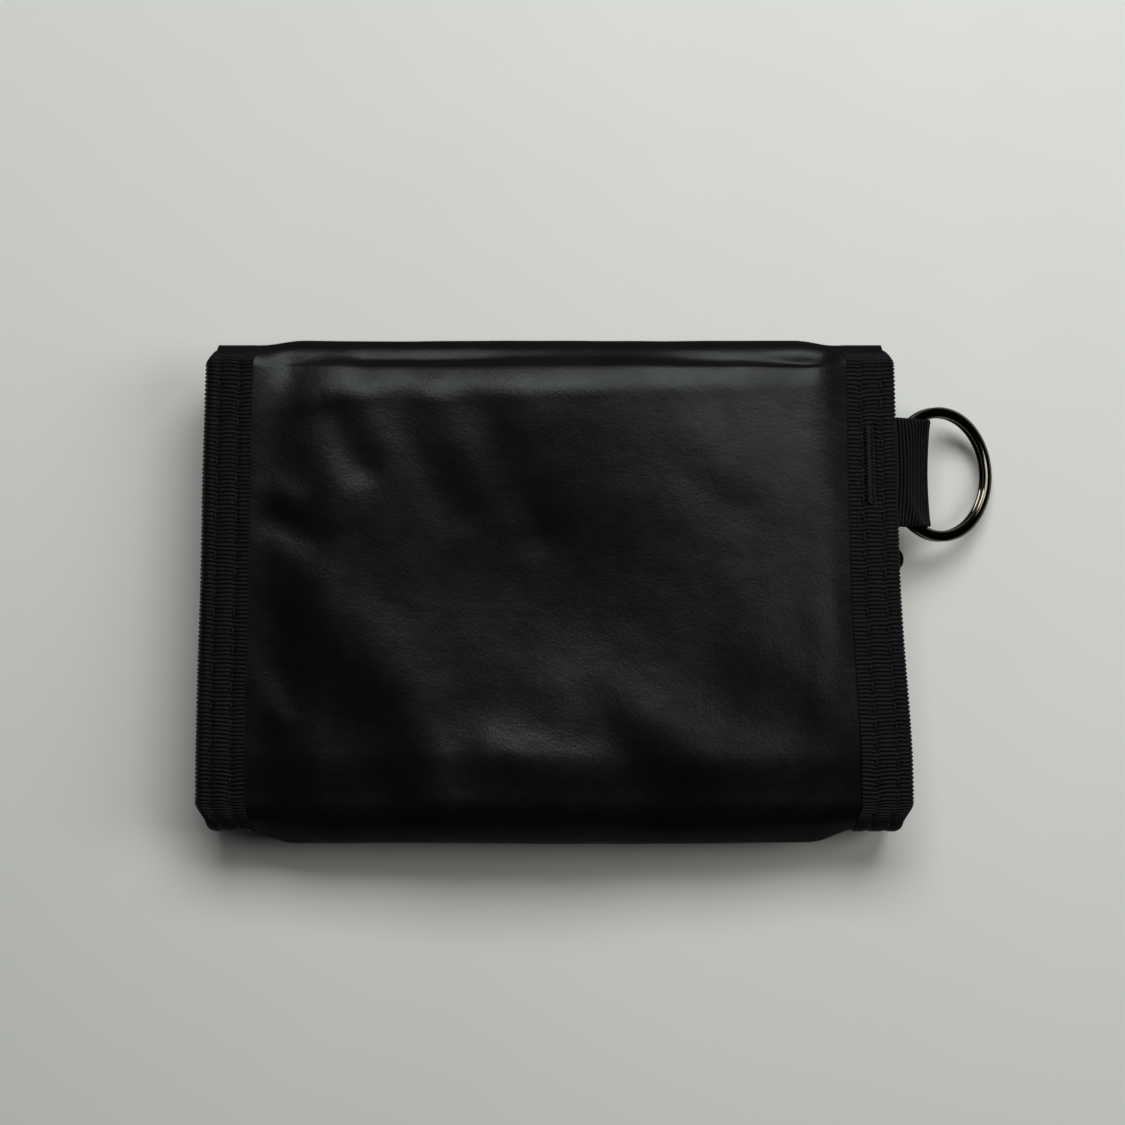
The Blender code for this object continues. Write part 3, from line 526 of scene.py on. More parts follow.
def black_nickel():
    """Polished dark plating with a few hairlines and faint haze."""
    look = Look("black_nickel")
    look.set("Metallic", 1.0)
    look.set("Specular Tint", (0.8, 0.78, 0.74))
    look.vary("Roughness", 0.05, 0.12, 3, 4, 0.6)
    look.vary("Base Color", (0.075, 0.067, 0.054), (0.13, 0.118, 0.097), 5)
    look.set("Normal", look.bump(look.noise(0.5, 3, 0.7, (8, 1, 1)), 0.004))
    return look.data


def zip_nylon():
    look = Look("zip_nylon")
    look.set("Base Color", (0.012, 0.012, 0.013))
    look.vary("Roughness", 0.25, 0.4, 1.0)
    look.set("Normal", look.bump(look.noise(0.3), 0.02))
    return look.data


def fastener():
    look = Look("hook_and_loop")
    look.set("Roughness", 0.8)
    look.vary("Base Color", (0.008, 0.008, 0.009), (0.02, 0.02, 0.022), 1.0, 3)
    look.set("Sheen Weight", 0.15)
    look.set("Normal", look.bump(look.noise(0.4, 4, 0.7), 0.25))
    return look.data


def clear_vinyl():
    look = Look("clear_vinyl")
    look.set("Base Color", (0.80, 0.83, 0.86))
    look.set("Transmission Weight", 0.85)
    look.set("IOR", 1.4)
    look.set("Alpha", 0.45)
    look.vary("Roughness", 0.08, 0.2, 6, 3)
    look.set("Normal", look.bump(look.noise(12, 3), 0.3))
    return look.data


FABRIC = coated_fabric()
TAPE_LOOK = grosgrain("grosgrain", (0.0021, 0.0022, 0.0032), 0)
WEBBING_LOOK = grosgrain("webbing", (0.0014, 0.0014, 0.0014), 1, WEBBING_PITCH, WEBBING_BOW)
LINING = lining_fabric()
THREAD = thread()
METAL = black_nickel()
ZIP = zip_nylon()
FASTENER = fastener()
VINYL = clear_vinyl()

# ------------------------------------------------------------------ placing pieces


def place(piece, where, slot, *nodes):
    """The piece goes with a body, or at a crease has its placement baked into its mesh, and stands for
    the nodes.
    """
    if where in CREASES:
        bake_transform(piece)
    else:
        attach(piece, where)
    if nodes:
        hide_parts(*nodes)
    return piece


def trim(name, shapes, where, slot="thread", look=THREAD):
    """Many small shapes, such as a seam's stitches, as one piece."""
    points, faces = joined(shapes)
    return place(mesh_object(name, points, faces, look), where, slot)


def nodes_of(part, ending, fold_ending=None):
    """The CAD nodes that one part of a strip stands for."""
    bodies = ("middle", "outer_fold") if part == "middle" else (part,)
    endings = {body: fold_ending or ending if "fold" in body else ending for body in bodies}
    return [f"{body}_{endings[body]}" for body in bodies]


def stations(start, end, step):
    return np.linspace(start, end, max(2, int(round(abs(end - start) / step)) + 1))


SHORT_STRIPS = []  # strips under 10 mm long and the pieces given with them, kept until a longer piece empties the list


def declare(piece, width_mm, length_mm, held, rests_on, *with_pieces, area_mm=None):
    """Gathers pieces under 10 mm long, with the pieces given with them, in SHORT_STRIPS and empties the
    list at a longer piece; width_mm and area_mm are not used.
    """
    if length_mm < 10:
        SHORT_STRIPS.extend([piece, *with_pieces])
        return
    SHORT_STRIPS.clear()


# ------------------------------------------------------------------ the shell

SHELL_HALF_X = 62.0
SHELL_X = stations(-SHELL_HALF_X, SHELL_HALF_X, 0.66)
SHELL_STEP = {"outer_flap": 1.1, "middle": 0.6, "inner_fold": 0.4, "inner_flap": 1.1}
SHELLS = {}
for part, s0, s1, crease in STRIP:
    piece = slab("shell_" + part, SHELL_X, stations(s0, s1, SHELL_STEP[part]),
                 shell_point, lambda x, s: shell_point(x, s, SHELL), FABRIC)
    SHELLS[part] = place(piece, crease, "coated_fabric", *nodes_of(part, "shell"))

# ------------------------------------------------------------------ binding tape


def ribs(along, pitch=RIB_PITCH, height=RIB_HEIGHT, fullness=0.6):
    """Height of ribs with sharp gaps between them, about 0 on average."""
    return height * (np.abs(np.sin(np.pi * along / pitch)) ** fullness - 0.6)


def rib_stations(start, end, step):
    """Rows at whole steps, so that every gap between ribs gets a row, and at both ends."""
    first, last = math.ceil(start / step + 0.3), math.floor(end / step - 0.3)
    return np.concatenate([[start], np.arange(first, last + 1) * step, [end]])


BARTACK_X, BARTACK_Y, BARTACK_HALF = 57.9, 22.1, 6.9
BARTACK_S = S_MIDDLE + BARTACK_Y - OUTER_START
STITCH_PITCH = 3.4
STITCH_LENGTH = 2.5
STITCH_ROWS = (2.7, 6.3)  # from the tape's fold
TOP_DEPTH = 1.0  # middle of the tape's outer leg under the shell's crown
NOSE_ARC = math.pi * 1.1  # length of the tape round its nose
TIP_TAPE_WIDTH = 6.0
TIP_STITCH_ROW = 2.7  # from the nose


def tape_pull(s):
    """How much further in than the shell the tape is drawn round the inner fold."""
    return 1.5 * smooth(s, S_INNER + 0.5, S_HALF_TURN) * (1 - smooth(s, S_HALF_TURN, S_FLAP))


def bottom_side_depth(s):
    """Middle of the inner leg where every layer is in one binding, at -X."""
    stops = (S_OUTER_TIP, -S_MIDDLE, 0, S_MIDDLE, S_INNER, S_HALF_TURN, S_FLAP, S_INNER_TIP)
    return np.interp(s, stops, (3.8, 3.8, 3.0, 4.4, 4.4, 2.6, 3.1, 3.1))


class FoldedTape:
    """A tape folded over an edge, u being the length along its section: outer leg, nose, inner leg."""

    def __init__(self, nose, leg, arc, steps, seams):
        outer_step, arc_step, inner_step = steps
        self.nose, self.leg, self.arc = nose, leg, arc
        self.us = np.concatenate([stations(0, leg, outer_step), leg + stations(0, arc, arc_step)[1:],
                                  leg + arc + stations(0, leg, inner_step)[1:]])
        self.flat_width = 2 * leg + arc
        self.rows = [*seams, *(self.flat_width - u for u in seams)]  # u of each row of stitches

    def section(self, u):
        """The turn round the nose at u, 0 to pi, and the length of leg from the nose to u."""
        turn = np.clip((u - self.leg) / self.arc, 0, 1) * math.pi
        return turn, np.maximum(np.maximum(self.leg - u, u - self.leg - self.arc), 0)

    def stitches(self, centres, length, lift, radius, points=7, sides=7, lean=0.0):
        """A stitch over each of the centres in every row, lift off the tape's middle."""
        share = np.linspace(-1, 1, points)
        height = lift - 0.30 * np.abs(share) ** 3
        shapes = []
        for row in self.rows:
            for centre in centres:
                u = row + lean * math.sin(centre * 2.4 / STITCH_PITCH + row) * share
                line = self.at(u, centre + share * length / 2, height)
                shapes.append(stitch(line, share, radius, sides))
        return shapes


class SideTape(FoldedTape):
    """A tape over a long edge. side is -1 or 1, deep(s) the middle of its inner leg."""

    def __init__(self, side, deep):
        self.side, self.deep = side, deep
        nose = 1.1 if side < 0 else 0.8
        self.bend_x = HALF_LENGTH - TAPE / 2 - nose
        leg = self.bend_x - (HALF_LENGTH - TAPE_WIDTH)
        seams = [leg + nose - row + TAPE / 2 for row in STITCH_ROWS]
        super().__init__(nose, leg, NOSE_ARC, (0.42, 0.38, 1.2), seams)

    def at(self, u, s, lift):
        """The point u along the section, lift mm off the tape's middle."""
        turn, reach = self.section(u)
        drawn = fold_droop(s) + tape_pull(s)
        top = TOP_DEPTH + 0.10 * waves(s, s * 0 + self.side * 40, 26, 21) + drawn
        low = np.maximum(self.deep(s) + drawn, top + 1.0)
        wander = 0.12 * waves(s, s * 0 + self.side * 15, 33, 31)
        x = self.bend_x + wander - reach + (self.nose + lift) * np.sin(turn)
        depth = (top + low) / 2 - ((low - top) / 2 + lift) * np.cos(turn)
        y, z, ny, nz = path(s)
        return spot(tapered(self.side * x, y), y - ny * depth, z - nz * depth)

    def outside(self, u, s):
        lift = TAPE / 2 + ribs(s)
        pulled = s + 0.16 * waves(u, s, 7, 41)
        for row in self.rows:
            near = np.exp(-(((u - row) / 0.5) ** 2))
            lift = lift - near * (0.20 + 0.08 * np.cos(2 * np.pi * s / STITCH_PITCH))
            pulled = pulled + 0.22 * smooth(u, row - 0.5, row + 0.5) - 0.10 * near
        if self.side > 0:  # the bartack bites into the tape along its outer side
            along = s - BARTACK_S
            bite = np.exp(-(((u - self.leg + self.bend_x - BARTACK_X - 0.95) / 0.38) ** 2))
            beside = 1 - smooth(np.abs(along), BARTACK_HALF - 0.4, BARTACK_HALF + 0.6)
            lift = lift - 0.55 * bite * beside
        return self.at(u, pulled, lift)

    def inside(self, u, s):
        return self.at(u, s, -TAPE / 2)

    def seam(self, s0, s1):
        first = math.ceil((s0 + STITCH_LENGTH / 2) / STITCH_PITCH)
        last = math.floor((s1 - STITCH_LENGTH / 2) / STITCH_PITCH)
        centres = np.arange(first, last + 1) * STITCH_PITCH
        return self.stitches(centres, STITCH_LENGTH, TAPE / 2 - 0.02, 0.17, lean=0.10)


TAPE_ENDS = {"outer_flap": (S_OUTER_TIP + 6.15, 0.0), "inner_flap": (S_HALF_TURN, S_INNER_TIP - 6.2)}
ROWS_PER_RIB = {"outer_flap": 4, "middle": 6, "inner_fold": 6, "inner_flap": 4}
SIDES = {"top": SideTape(1, lambda s: 2.2 + 0 * s), "bottom": SideTape(-1, bottom_side_depth)}
TAPES = {}
for side_name, tape in SIDES.items():
    for part, s0, s1, crease in STRIP:
        s0, s1 = TAPE_ENDS.get(part, (s0, s1))
        rows = rib_stations(s0, s1, RIB_PITCH / ROWS_PER_RIB[part])
        piece = slab(f"binding_{side_name}_{part}", tape.us, rows, tape.outside, tape.inside, TAPE_LOOK)
        place(piece, crease, "grosgrain", *nodes_of(part, side_name + "_binding"))
        seam = trim(f"stitching_{side_name}_{part}", tape.seam(s0, s1), crease)
        TAPES[side_name, part] = piece
        declare(piece, tape.flat_width, s1 - s0, "folded", SHELLS[part], seam)
for part, s0, s1, crease in STRIP:
    held = "laid" if part == "outer_flap" else "folded"
    declare(SHELLS[part], 2 * SHELL_HALF_X, s1 - s0, held, TAPES["top", part])


class TipTape(FoldedTape):
    """A tape over a flap's tip, running along X. inward is the direction of the flap in Y."""

    def __init__(self, tip_y, inward, low_z, high_z):
        self.tip_y, self.inward = tip_y, inward
        self.low_z, self.high_z = low_z + TAPE / 2 + 0.04, high_z - TAPE / 2
        nose = 0.9
        leg = TIP_TAPE_WIDTH - nose - TAPE / 2
        super().__init__(nose, leg, NOSE_ARC, (0.45, 0.4, 0.45), [leg - TIP_STITCH_ROW])

    def at(self, u, x, lift):
        turn, reach = self.section(u)
        y = self.tip_y + self.inward * (self.nose + TAPE / 2 + reach - (self.nose + lift) * np.sin(turn))
        mid, half = (self.low_z + self.high_z) / 2, (self.high_z - self.low_z) / 2
        z = mid - (half + lift) * np.cos(turn)
        return on_wallet(x, y, z)

    def outside(self, u, x):
        lift = TAPE / 2 + ribs(x + 0.1 * waves(u, x, 9, 43)) * 0.8 - 0.05
        pull = 0.09 + 0.08 * np.cos(2 * np.pi * x / STITCH_PITCH)
        for row in self.rows:
            lift = lift - np.exp(-(((u - row) / 0.55) ** 2)) * pull
        return self.at(u, x, lift)

    def inside(self, u, x):
        return self.at(u, x, -TAPE / 2)

    def seam(self):
        count = int((HALF_LENGTH - 2) / STITCH_PITCH)
        centres = np.arange(-count, count + 1) * STITCH_PITCH
        return self.stitches(centres, STITCH_LENGTH, TAPE / 2 + 0.02, 0.25)


for part, tip, inward in (("outer_flap", OUTER_TIP, -1), ("inner_flap", INNER_TIP, 1)):
    node = part + "_end_binding"
    low, high = box_mm(node)
    tape = TipTape(tip, inward, float(low[2]), float(high[2]))
    piece = slab("binding_end_" + part, tape.us, rib_stations(-HALF_LENGTH, HALF_LENGTH, RIB_PITCH / 6),
                 tape.outside, tape.inside, TAPE_LOOK)
    place(piece, part, "grosgrain", node)
    seam = trim("stitching_end_" + part, tape.seam(), part)
    declare(piece, tape.flat_width, 2 * HALF_LENGTH, "folded", SHELLS[part], seam)

# ------------------------------------------------------------------ the lining and what is sewn on it

PANEL = 0.3
LINING_END_X = 56.7  # the inner panel stops short of the shell at +X, below the banknote mouth
RIM_X = LINING_END_X + TAPE + 0.15
FLAP_Z, MIDDLE_Z, INNER_Z = 1.0, 13.8, 9.9  # the inner panel's level on each body, away from its sides
MIDDLE_BOUND_Z = 17.2  # and where its side is bound at -X
OUTER_Y, INNER_Y = -37.9, 39.9  # where it turns into the folds
Q_RANGE = (0.001, 4.999)
MM_PER_Q = 60  # for the weave
RIM_MM_PER_Q = 78  # for the rim tape's ribs and stitches


def sideways(x):
    """0 over the middle of a layer, 1 where its side is bound."""
    return smooth(np.abs(x), 43.4, 48.8)


def ends_at(x, bottom, top):
    """One value for the -X half and another for the +X half."""
    return np.where(x < 0, bottom, top)


def lining_line(x, q):
    """The inner panel's (y, z), facing the shell.

    q counts along it: 0 to 1 on the outer flap, to 2 round the outer fold, to 3 on the middle panel,
    to 4 round the inner fold and to 5 on the inner flap.
    """
    edge = sideways(x)
    flap_z = FLAP_Z + 1.6 * edge
    middle_z = MIDDLE_Z + (ends_at(x, MIDDLE_BOUND_Z, 13.4) - MIDDLE_Z) * edge
    inner_z = INNER_Z + 1.5 * edge
    inner_z = inner_z + (10.2 - inner_z) * smooth(q, 4.86, 4.9)
    flap_z = flap_z + (2.6 - flap_z) * smooth(-q, -0.1, -0.06)
    outer_bulge = -4.9 + 0.8 * edge
    inner_bulge = 2.4 + ends_at(x, 0.0, -0.9) * edge
    t = q - np.floor(q)
    turn = np.sin(np.pi * np.clip(t, 1e-6, 1)) ** 0.7
    rise = (1 - np.cos(np.pi * t)) / 2
    places = [q < 1, q < 2, q < 3, q < 4]
    tip_y = OUTER_TIP - 1.2
    y = np.select(places, [tip_y - (tip_y - OUTER_Y) * t, OUTER_Y + outer_bulge * turn,
                           OUTER_Y + (INNER_Y - OUTER_Y) * t, INNER_Y + inner_bulge * turn],
                  INNER_Y - (INNER_Y - INNER_TIP - 1.2) * t)
    z = np.select(places, [flap_z, flap_z + (middle_z - flap_z) * rise, middle_z,
                           middle_z + (inner_z - middle_z) * rise], inner_z)
    return y, z


def lining_normal(x, q):
    """The direction away from the shell."""
    step = 0.02
    y0, z0 = lining_line(x, np.clip(q - step, *Q_RANGE))
    y1, z1 = lining_line(x, np.clip(q + step, *Q_RANGE))
    dy, dz = y1 - y0, z1 - z0
    size = np.maximum(np.hypot(dy, dz), 1e-9)
    return dz / size, -dy / size


def lining_point(x, q, depth):
    y, z = lining_line(x, np.clip(q, *Q_RANGE))
    ny, nz = lining_normal(x, q)
    free = 1 - sideways(x)
    swell = 0.12 * waves(x, q * 25, 24, 51) * free * (np.abs(q - 2.5) < 2.3)
    out = depth + swell
    return spot(tapered(x, y), y + ny * out, z + nz * out)


LINING_PARTS = (  # part, crease, q and flat length of the panel, q and flat length of its rim tape
    ("outer_flap", "lining_outer_low", (0.0, 1.5), 87, (0.09, 1.5), 80),
    ("middle", "lining_outer_high", (1.5, 3.0), 90, (1.5, 3.0), 90),
    ("inner_fold", "lining_inner_high", (3.0, 3.5), 4, (3.0, 3.5), 4),
    ("inner_flap", "lining_inner_low", (3.5, 5.0), 63, (3.5, 4.89), 56),
)


def lining_rows(q0, q1):
    """Rows along q from q0 to q1, with the same ones on both sides of a crease."""
    dense = [stations(q, q + 1, 1 / 40 if q % 2 else 1 / 44) for q in range(5)]
    every = np.unique(np.round(np.concatenate(dense), 6))
    inner = every[(every > q0 + 1e-4) & (every < q1 - 1e-4)]
    return np.concatenate([[q0], inner, [q1]])


LINING_X = stations(-61.6, LINING_END_X, 1.0)
LINING_WIDTH = 118
LININGS = {}
for part, crease, (q0, q1), *_ in LINING_PARTS:
    piece = slab("lining_" + part, LINING_X, lining_rows(q0, q1),
                 lambda x, q: lining_point(x, q, PANEL), lambda x, q: lining_point(x, q, 0.0), LINING)
    for loop in piece.data.uv_layers[0].data:
        loop.uv[1] *= MM_PER_Q
    LININGS[part] = place(piece, crease, "lining_fabric", *nodes_of(part, "lining"))


class RimTape(FoldedTape):
    """The inner panel's own tape, along the banknote mouth."""

    def __init__(self):
        super().__init__(0.5, TAPE_WIDTH - 1.1, 2.4, (0.6, 0.4, 0.6), [2.4])

    def at(self, u, q, lift):
        turn, reach = self.section(u)
        x = RIM_X - 0.9 - reach + (self.nose + lift) * np.sin(turn)
        bound_x = np.full_like(x, 55.0)  # the panel's line where its side is bound
        y, z = lining_line(bound_x, np.clip(q, *Q_RANGE))
        ny, nz = lining_normal(bound_x, q)
        out = PANEL / 2 - (0.42 + lift) * np.cos(turn)
        return spot(tapered(x, y), y + ny * out, z + nz * out)

    def outside(self, u, q):
        return self.at(u, q, 0.2 + 0.5 * ribs(q * RIM_MM_PER_Q))

    def inside(self, u, q):
        return self.at(u, q, -0.2)

    def seam(self, q0, q1):
        centres = np.arange(q0 + 0.03, q1 - 0.03, STITCH_PITCH / RIM_MM_PER_Q)
        flat = centres[centres.astype(int) % 2 == 0]  # no stitches inside the folds
        return self.stitches(flat, STITCH_LENGTH / RIM_MM_PER_Q, 0.26, 0.22, 5, 6)


RIM = RimTape()
for part, crease, _, _, (q0, q1), length in LINING_PARTS:
    rows = stations(q0, q1, 0.006 if part == "inner_fold" else 0.19 / RIM_MM_PER_Q)
    piece = slab("lining_binding_" + part, RIM.us, rows, RIM.outside, RIM.inside, TAPE_LOOK)
    place(piece, crease, "grosgrain", *nodes_of(part, "pocket_binding", "lining_binding"))
    shapes = RIM.seam(q0, q1)
    seams = [trim("lining_stitching_" + part, shapes, crease)] if shapes else []
    declare(piece, RIM.flat_width, length, "folded", LININGS[part], *seams)
for part, _, _, length, *_ in LINING_PARTS:
    declare(LININGS[part], LINING_WIDTH, length, "stretched", SHELLS[part])


def stitch_line(points, lift=0.0, radius=0.2, pitch=3.0, length=2.2):
    """Stitches along a bent line of points (mm), bowed up along Z by lift."""
    points = np.asarray(points, float)
    runs = np.linalg.norm(np.diff(points, axis=0), axis=1)
    total = np.concatenate([[0], np.cumsum(runs)])
    up = -1.0 if lift < 0 else 1.0
    shapes = []
    for start in np.arange(0.6, total[-1] - length, pitch):
        share = np.linspace(-1, 1, 5)
        at = start + length / 2 + share * length / 2
        line = np.stack([np.interp(at, total, points[:, i]) for i in range(3)], -1)
        line[:, 2] += up * (abs(lift) - 0.28 * np.abs(share) ** 3)
        shapes.append(stitch(line, share, radius, 6))
    return shapes


# Card slots: three panels under the middle lining, their mouths towards +X.
SLOT_MOUTHS = (41.0, 29.0, 17.0)
SLOT_STEP = 0.55  # how far each lies under the last
SLOT_END_X = -61.0
SLOT_Y = (-35, 36)
for number, open_x in enumerate(SLOT_MOUTHS, start=1):
    drop = SLOT_STEP * number

    def slot_back(x, y, sink=0.02):
        level = MIDDLE_Z + (MIDDLE_BOUND_Z - MIDDLE_Z) * sideways(np.minimum(x, 0))
        return on_wallet(x, y, level - drop + sink)

    def slot_front(x, y):
        hem = 0.10 * smooth(x, open_x - 3.4, open_x - 3.0)
        swell = 0.05 * waves(x, y, 16, 60 + number) * (1 - sideways(x))
        return slot_back(x, y, 0.08 - PANEL - hem - swell)

    piece = slab(f"card_slot_{number}", stations(SLOT_END_X, open_x, 1.0), stations(*SLOT_Y, 1.2),
                 slot_front, slot_back, LINING)
    place(piece, "middle_panel", "lining_fabric", f"card_slot_{number}")
    mouth_z = MIDDLE_Z - drop - PANEL - 0.02
    seams = [[(open_x - 2.4, y, mouth_z) for y in (-34.0, 35.0)]]
    for y in (-33.6, 34.6):
        seams.append([(-42.0, y, mouth_z + 0.05), (open_x - 3.5, y, mouth_z + 0.05)])
    shapes = [shape for line in seams for shape in stitch_line(line, -0.06)]
    seam = trim(f"card_slot_stitching_{number}", shapes, "middle_panel")
    declare(piece, open_x - SLOT_END_X, SLOT_Y[1] - SLOT_Y[0], "laid", "lining_middle", seam)

# Coin pocket on the outer flap, with its zip.
ZIP_Y = 5.6
POCKET_TOP_Z = 6.5
POCKET_X = stations(-61.0, LINING_END_X - 1.0, 1.0)
POCKET_WIDTH = 117
COIL_START = -43.8
COIL_LENGTH = 88
COIL_PITCH = 0.9


def pocket_z(x, y):
    """Top of the coin pocket's skin."""
    tip = 3.5 + (POCKET_TOP_Z - 3.5) * smooth(OUTER_TIP - y, 5.6, 9.6)
    back = 3.0 + (POCKET_TOP_Z - 3.0) * smooth(y, -25.0, -13.0)
    far = np.where(y < -24.0, 2.1 + 0.9 * smooth(y, -34.5, -23.5), back)
    middle = np.where(y < -14.0, np.minimum(far, back), tip)
    return 3.5 * sideways(x) + middle * (1 - sideways(x))


def pocket_front(x, y):
    free = 1 - sideways(x)
    near_zip = smooth(np.abs(y - ZIP_Y), 4.6, 3.8) * 0.10
    z = pocket_z(x, y) - 0.08 + 0.07 * waves(x, y, 18, 71) * free + near_zip * free
    return on_wallet(x, y, z)


def pocket_back(x, y):
    return on_wallet(x, y, pocket_z(x, y) - 0.42)


POCKETS = {}
for letter, y0, y1 in (("a", -34.0, ZIP_Y - 3.8), ("b", ZIP_Y + 3.8, OUTER_TIP - 1.0)):
    rows = stations(y0, y1, 0.8)
    piece = slab("coin_pocket_" + letter, POCKET_X, rows, pocket_front, pocket_back, LINING)
    POCKETS[letter] = place(piece, "outer_flap", "lining_fabric", "coin_pocket_panel_" + letter)


def zip_tape_top(x, y, sink=0.0):
    return on_wallet(x, y, 5.6 - 3.0 * sideways(x) - sink)


for letter, (y0, y1), (near, far), edge_y, depth in (
    ("a", (ZIP_Y - 8.0, ZIP_Y - 1.9), (ZIP_Y - 1.8, ZIP_Y - 0.45), ZIP_Y - 4.9, 35.8),
    ("b", (ZIP_Y + 1.9, ZIP_Y + 8.0), (ZIP_Y + 0.45, ZIP_Y + 1.8), ZIP_Y + 4.9, 28.6),
):
    piece = slab("zipper_tape_" + letter, stations(-46.5, 46.5, 0.8), stations(y0, y1, 0.6),
                 zip_tape_top, lambda x, y: zip_tape_top(x, y, PANEL), LINING)
    place(piece, "outer_flap", "lining_fabric", "zipper_tape_" + letter)
    count = COIL_LENGTH / COIL_PITCH
    turns = np.linspace(0, count, int(count) * 9)
    angle = turns * 2 * math.pi
    mid_y, half_y = (near + far) / 2, (far - near) / 2 - 0.2
    coil = np.stack([COIL_START + turns * COIL_PITCH * 0.995, mid_y + half_y * np.cos(angle),
                     5.3 + 0.42 * np.sin(angle)], -1)
    made = mesh_object("zipper_coil_" + letter, *tube(coil, 0.21, 6), ZIP)
    place(made, "outer_flap", "zip_nylon", "zipper_coil_" + letter)
    row = [(x, edge_y, POCKET_TOP_Z) for x in (-44, 44)]
    seam = trim("zipper_stitching_" + letter, stitch_line(row, 0.06), "outer_flap")
    declare(POCKETS[letter], POCKET_WIDTH, depth, "stretched", "lining_outer_flap", seam, piece)


def rounded(node, width_mm, segments=3):
    """A CAD part that stays: its edges get rounded."""
    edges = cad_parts[node].modifiers.new("edges", "BEVEL")
    edges.width = width_mm * MM
    edges.segments = segments
    edges.limit_method = "ANGLE"
    edges.angle_limit = math.radians(35)
    edges.harden_normals = True


def repaint(node, look):
    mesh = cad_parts[node].data
    if not mesh.materials:
        mesh.materials.append(look)
    for material_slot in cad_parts[node].material_slots:
        material_slot.material = look


for node in ("zipper_top_stop", "zipper_bottom_stop", "zipper_slider_body", "zipper_pull_tab"):
    repaint(node, METAL)
rounded("zipper_slider_body", 0.16, 2)
rounded("zipper_pull_tab", 0.2, 3)

# Hook tape on the coin pocket, loop tape on the inner flap's outside.


def patch(name, body, low, high, up):
    """The backing of a fastener patch, with a sewn rim."""
    (x0, y0, z0), (x1, y1, z1) = low, high

    def face(x, y, side):
        inset = np.minimum(np.minimum(x - x0, x1 - x), np.minimum(y - y0, y1 - y))
        rise = 0.35 * smooth(inset, -0.2, 0.9)
        base = z0 if up > 0 else z1
        z = base + up * (0.05 + rise * side)
        return spot(x, y, z)

    piece = slab(name, stations(x0, x1, 0.8), stations(y0, y1, 0.8),
                 lambda x, y: face(x, y, 1.0), lambda x, y: face(x, y, 0.0), FASTENER)
    return place(piece, body, "hook_and_loop", name)


# Both patches' corners come from the CAD, and lie on the pocket's skin and on the shell.
hook_base = patch("hook_patch", "outer_flap", (-30, 18, 6.5), (30, 29, 7.4), 1)
hooks = []
for row, y in enumerate(np.arange(19.4, 27.8, 1.05)):
    for x in np.arange(-28.6 + 0.5 * (row % 2), 28.8, 1.15):
        bend = np.array([(0, 0, 6.8), (0, 0, 7.12), (0.12, 0, 7.3), (0.32, 0, 7.32), (0.42, 0, 7.2)])
        hooks.append(tube(bend + (x, y, 0), 0.09, 5))
hooks = trim("hook_patch_hooks", hooks, "outer_flap", "hook_and_loop", ZIP)
declare(hook_base, 60, 11, "laid", POCKETS["b"], hooks)

loop_base = patch("loop_patch", "inner_flap", (-30, 18, 7.9), (30, 32, 8.75), -1)
loops = []
for _ in range(1500):
    x, y, heading = RANDOM.uniform(-29, 29), RANDOM.uniform(19, 31), RANDOM.uniform(0, 2 * math.pi)
    share = np.linspace(0, 1, 6)
    reach = RANDOM.uniform(0.5, 0.9)
    along = reach * (share - 0.5)
    height = RANDOM.uniform(0.25, 0.4) * np.sin(math.pi * share)
    line = np.stack([x + math.cos(heading) * along, y + math.sin(heading) * along, 8.35 - height], -1)
    loops.append(tube(line, 0.05, 4))
loops = trim("loop_patch_pile", loops, "inner_flap", "hook_and_loop", FASTENER)
declare(loop_base, 60, 14, "laid", "shell_inner_flap", loops)

# Identity window on the inner flap: a clear sheet under a fabric frame.


def window_point(x, y, z):
    z = z + 0.04 * waves(x, y, 30, 81)
    return on_wallet(x, y, z)


window = slab("id_window", stations(-41, 41, 1.5), stations(-9.5, 35.5, 1.5),
              lambda x, y: window_point(x, y, 10.66), lambda x, y: window_point(x, y, 10.46), VINYL)
place(window, "inner_flap", "clear_vinyl", "id_window")
declare(window, 82, 45, "laid", "lining_inner_flap")
WINDOW_Y = 13.0  # its middle


def rounded_rectangle(half_x, half_y, radius, z, per_corner=8):
    """Points round a rectangle with round corners about the window's middle, anticlockwise."""
    points = []
    for side_x, side_y, start in ((1, 1, 0), (-1, 1, 90), (-1, -1, 180), (1, -1, 270)):
        for step in range(per_corner):
            angle = math.radians(start + 90 * step / (per_corner - 1))
            x = side_x * (half_x - radius) + radius * math.cos(angle)
            y = WINDOW_Y + side_y * (half_y - radius) + radius * math.sin(angle)
            points.append((tapered(x, y), y, z))
    return points


FRAME_LINES = (  # half sizes in X and Y, corner radius and z, from the hole over the top to the back
    (36, 18, 4.0, 10.88), (36, 18, 4.0, 11.12), (36.5, 18.5, 4.2, 11.25), (39.0, 21.0, 3.0, 11.25),
    (39.3, 21.3, 3.0, 11.17), (42.6, 24.1, 1.5, 11.17), (43, 24.5, 1.5, 11.05), (43, 24.5, 1.5, 10.88),
)
FRAME_SEAMS = ((37.8, 19.8, 3.6, 11.25), (41.6, 23.1, 1.5, 11.17))


def window_frame():
    points = np.array([rounded_rectangle(*line) for line in FRAME_LINES])
    index = np.arange(points.shape[0] * points.shape[1]).reshape(points.shape[:2])
    across, after = np.roll(index, -1, axis=0), np.roll(index, -1, axis=1)
    faces = np.stack([index, across, np.roll(across, -1, axis=1), after], -1).reshape(-1, 4)
    points = points.reshape(-1, 3)
    return mesh_object("id_window_frame", points, faces, LINING, None, points[faces.reshape(-1), :2])


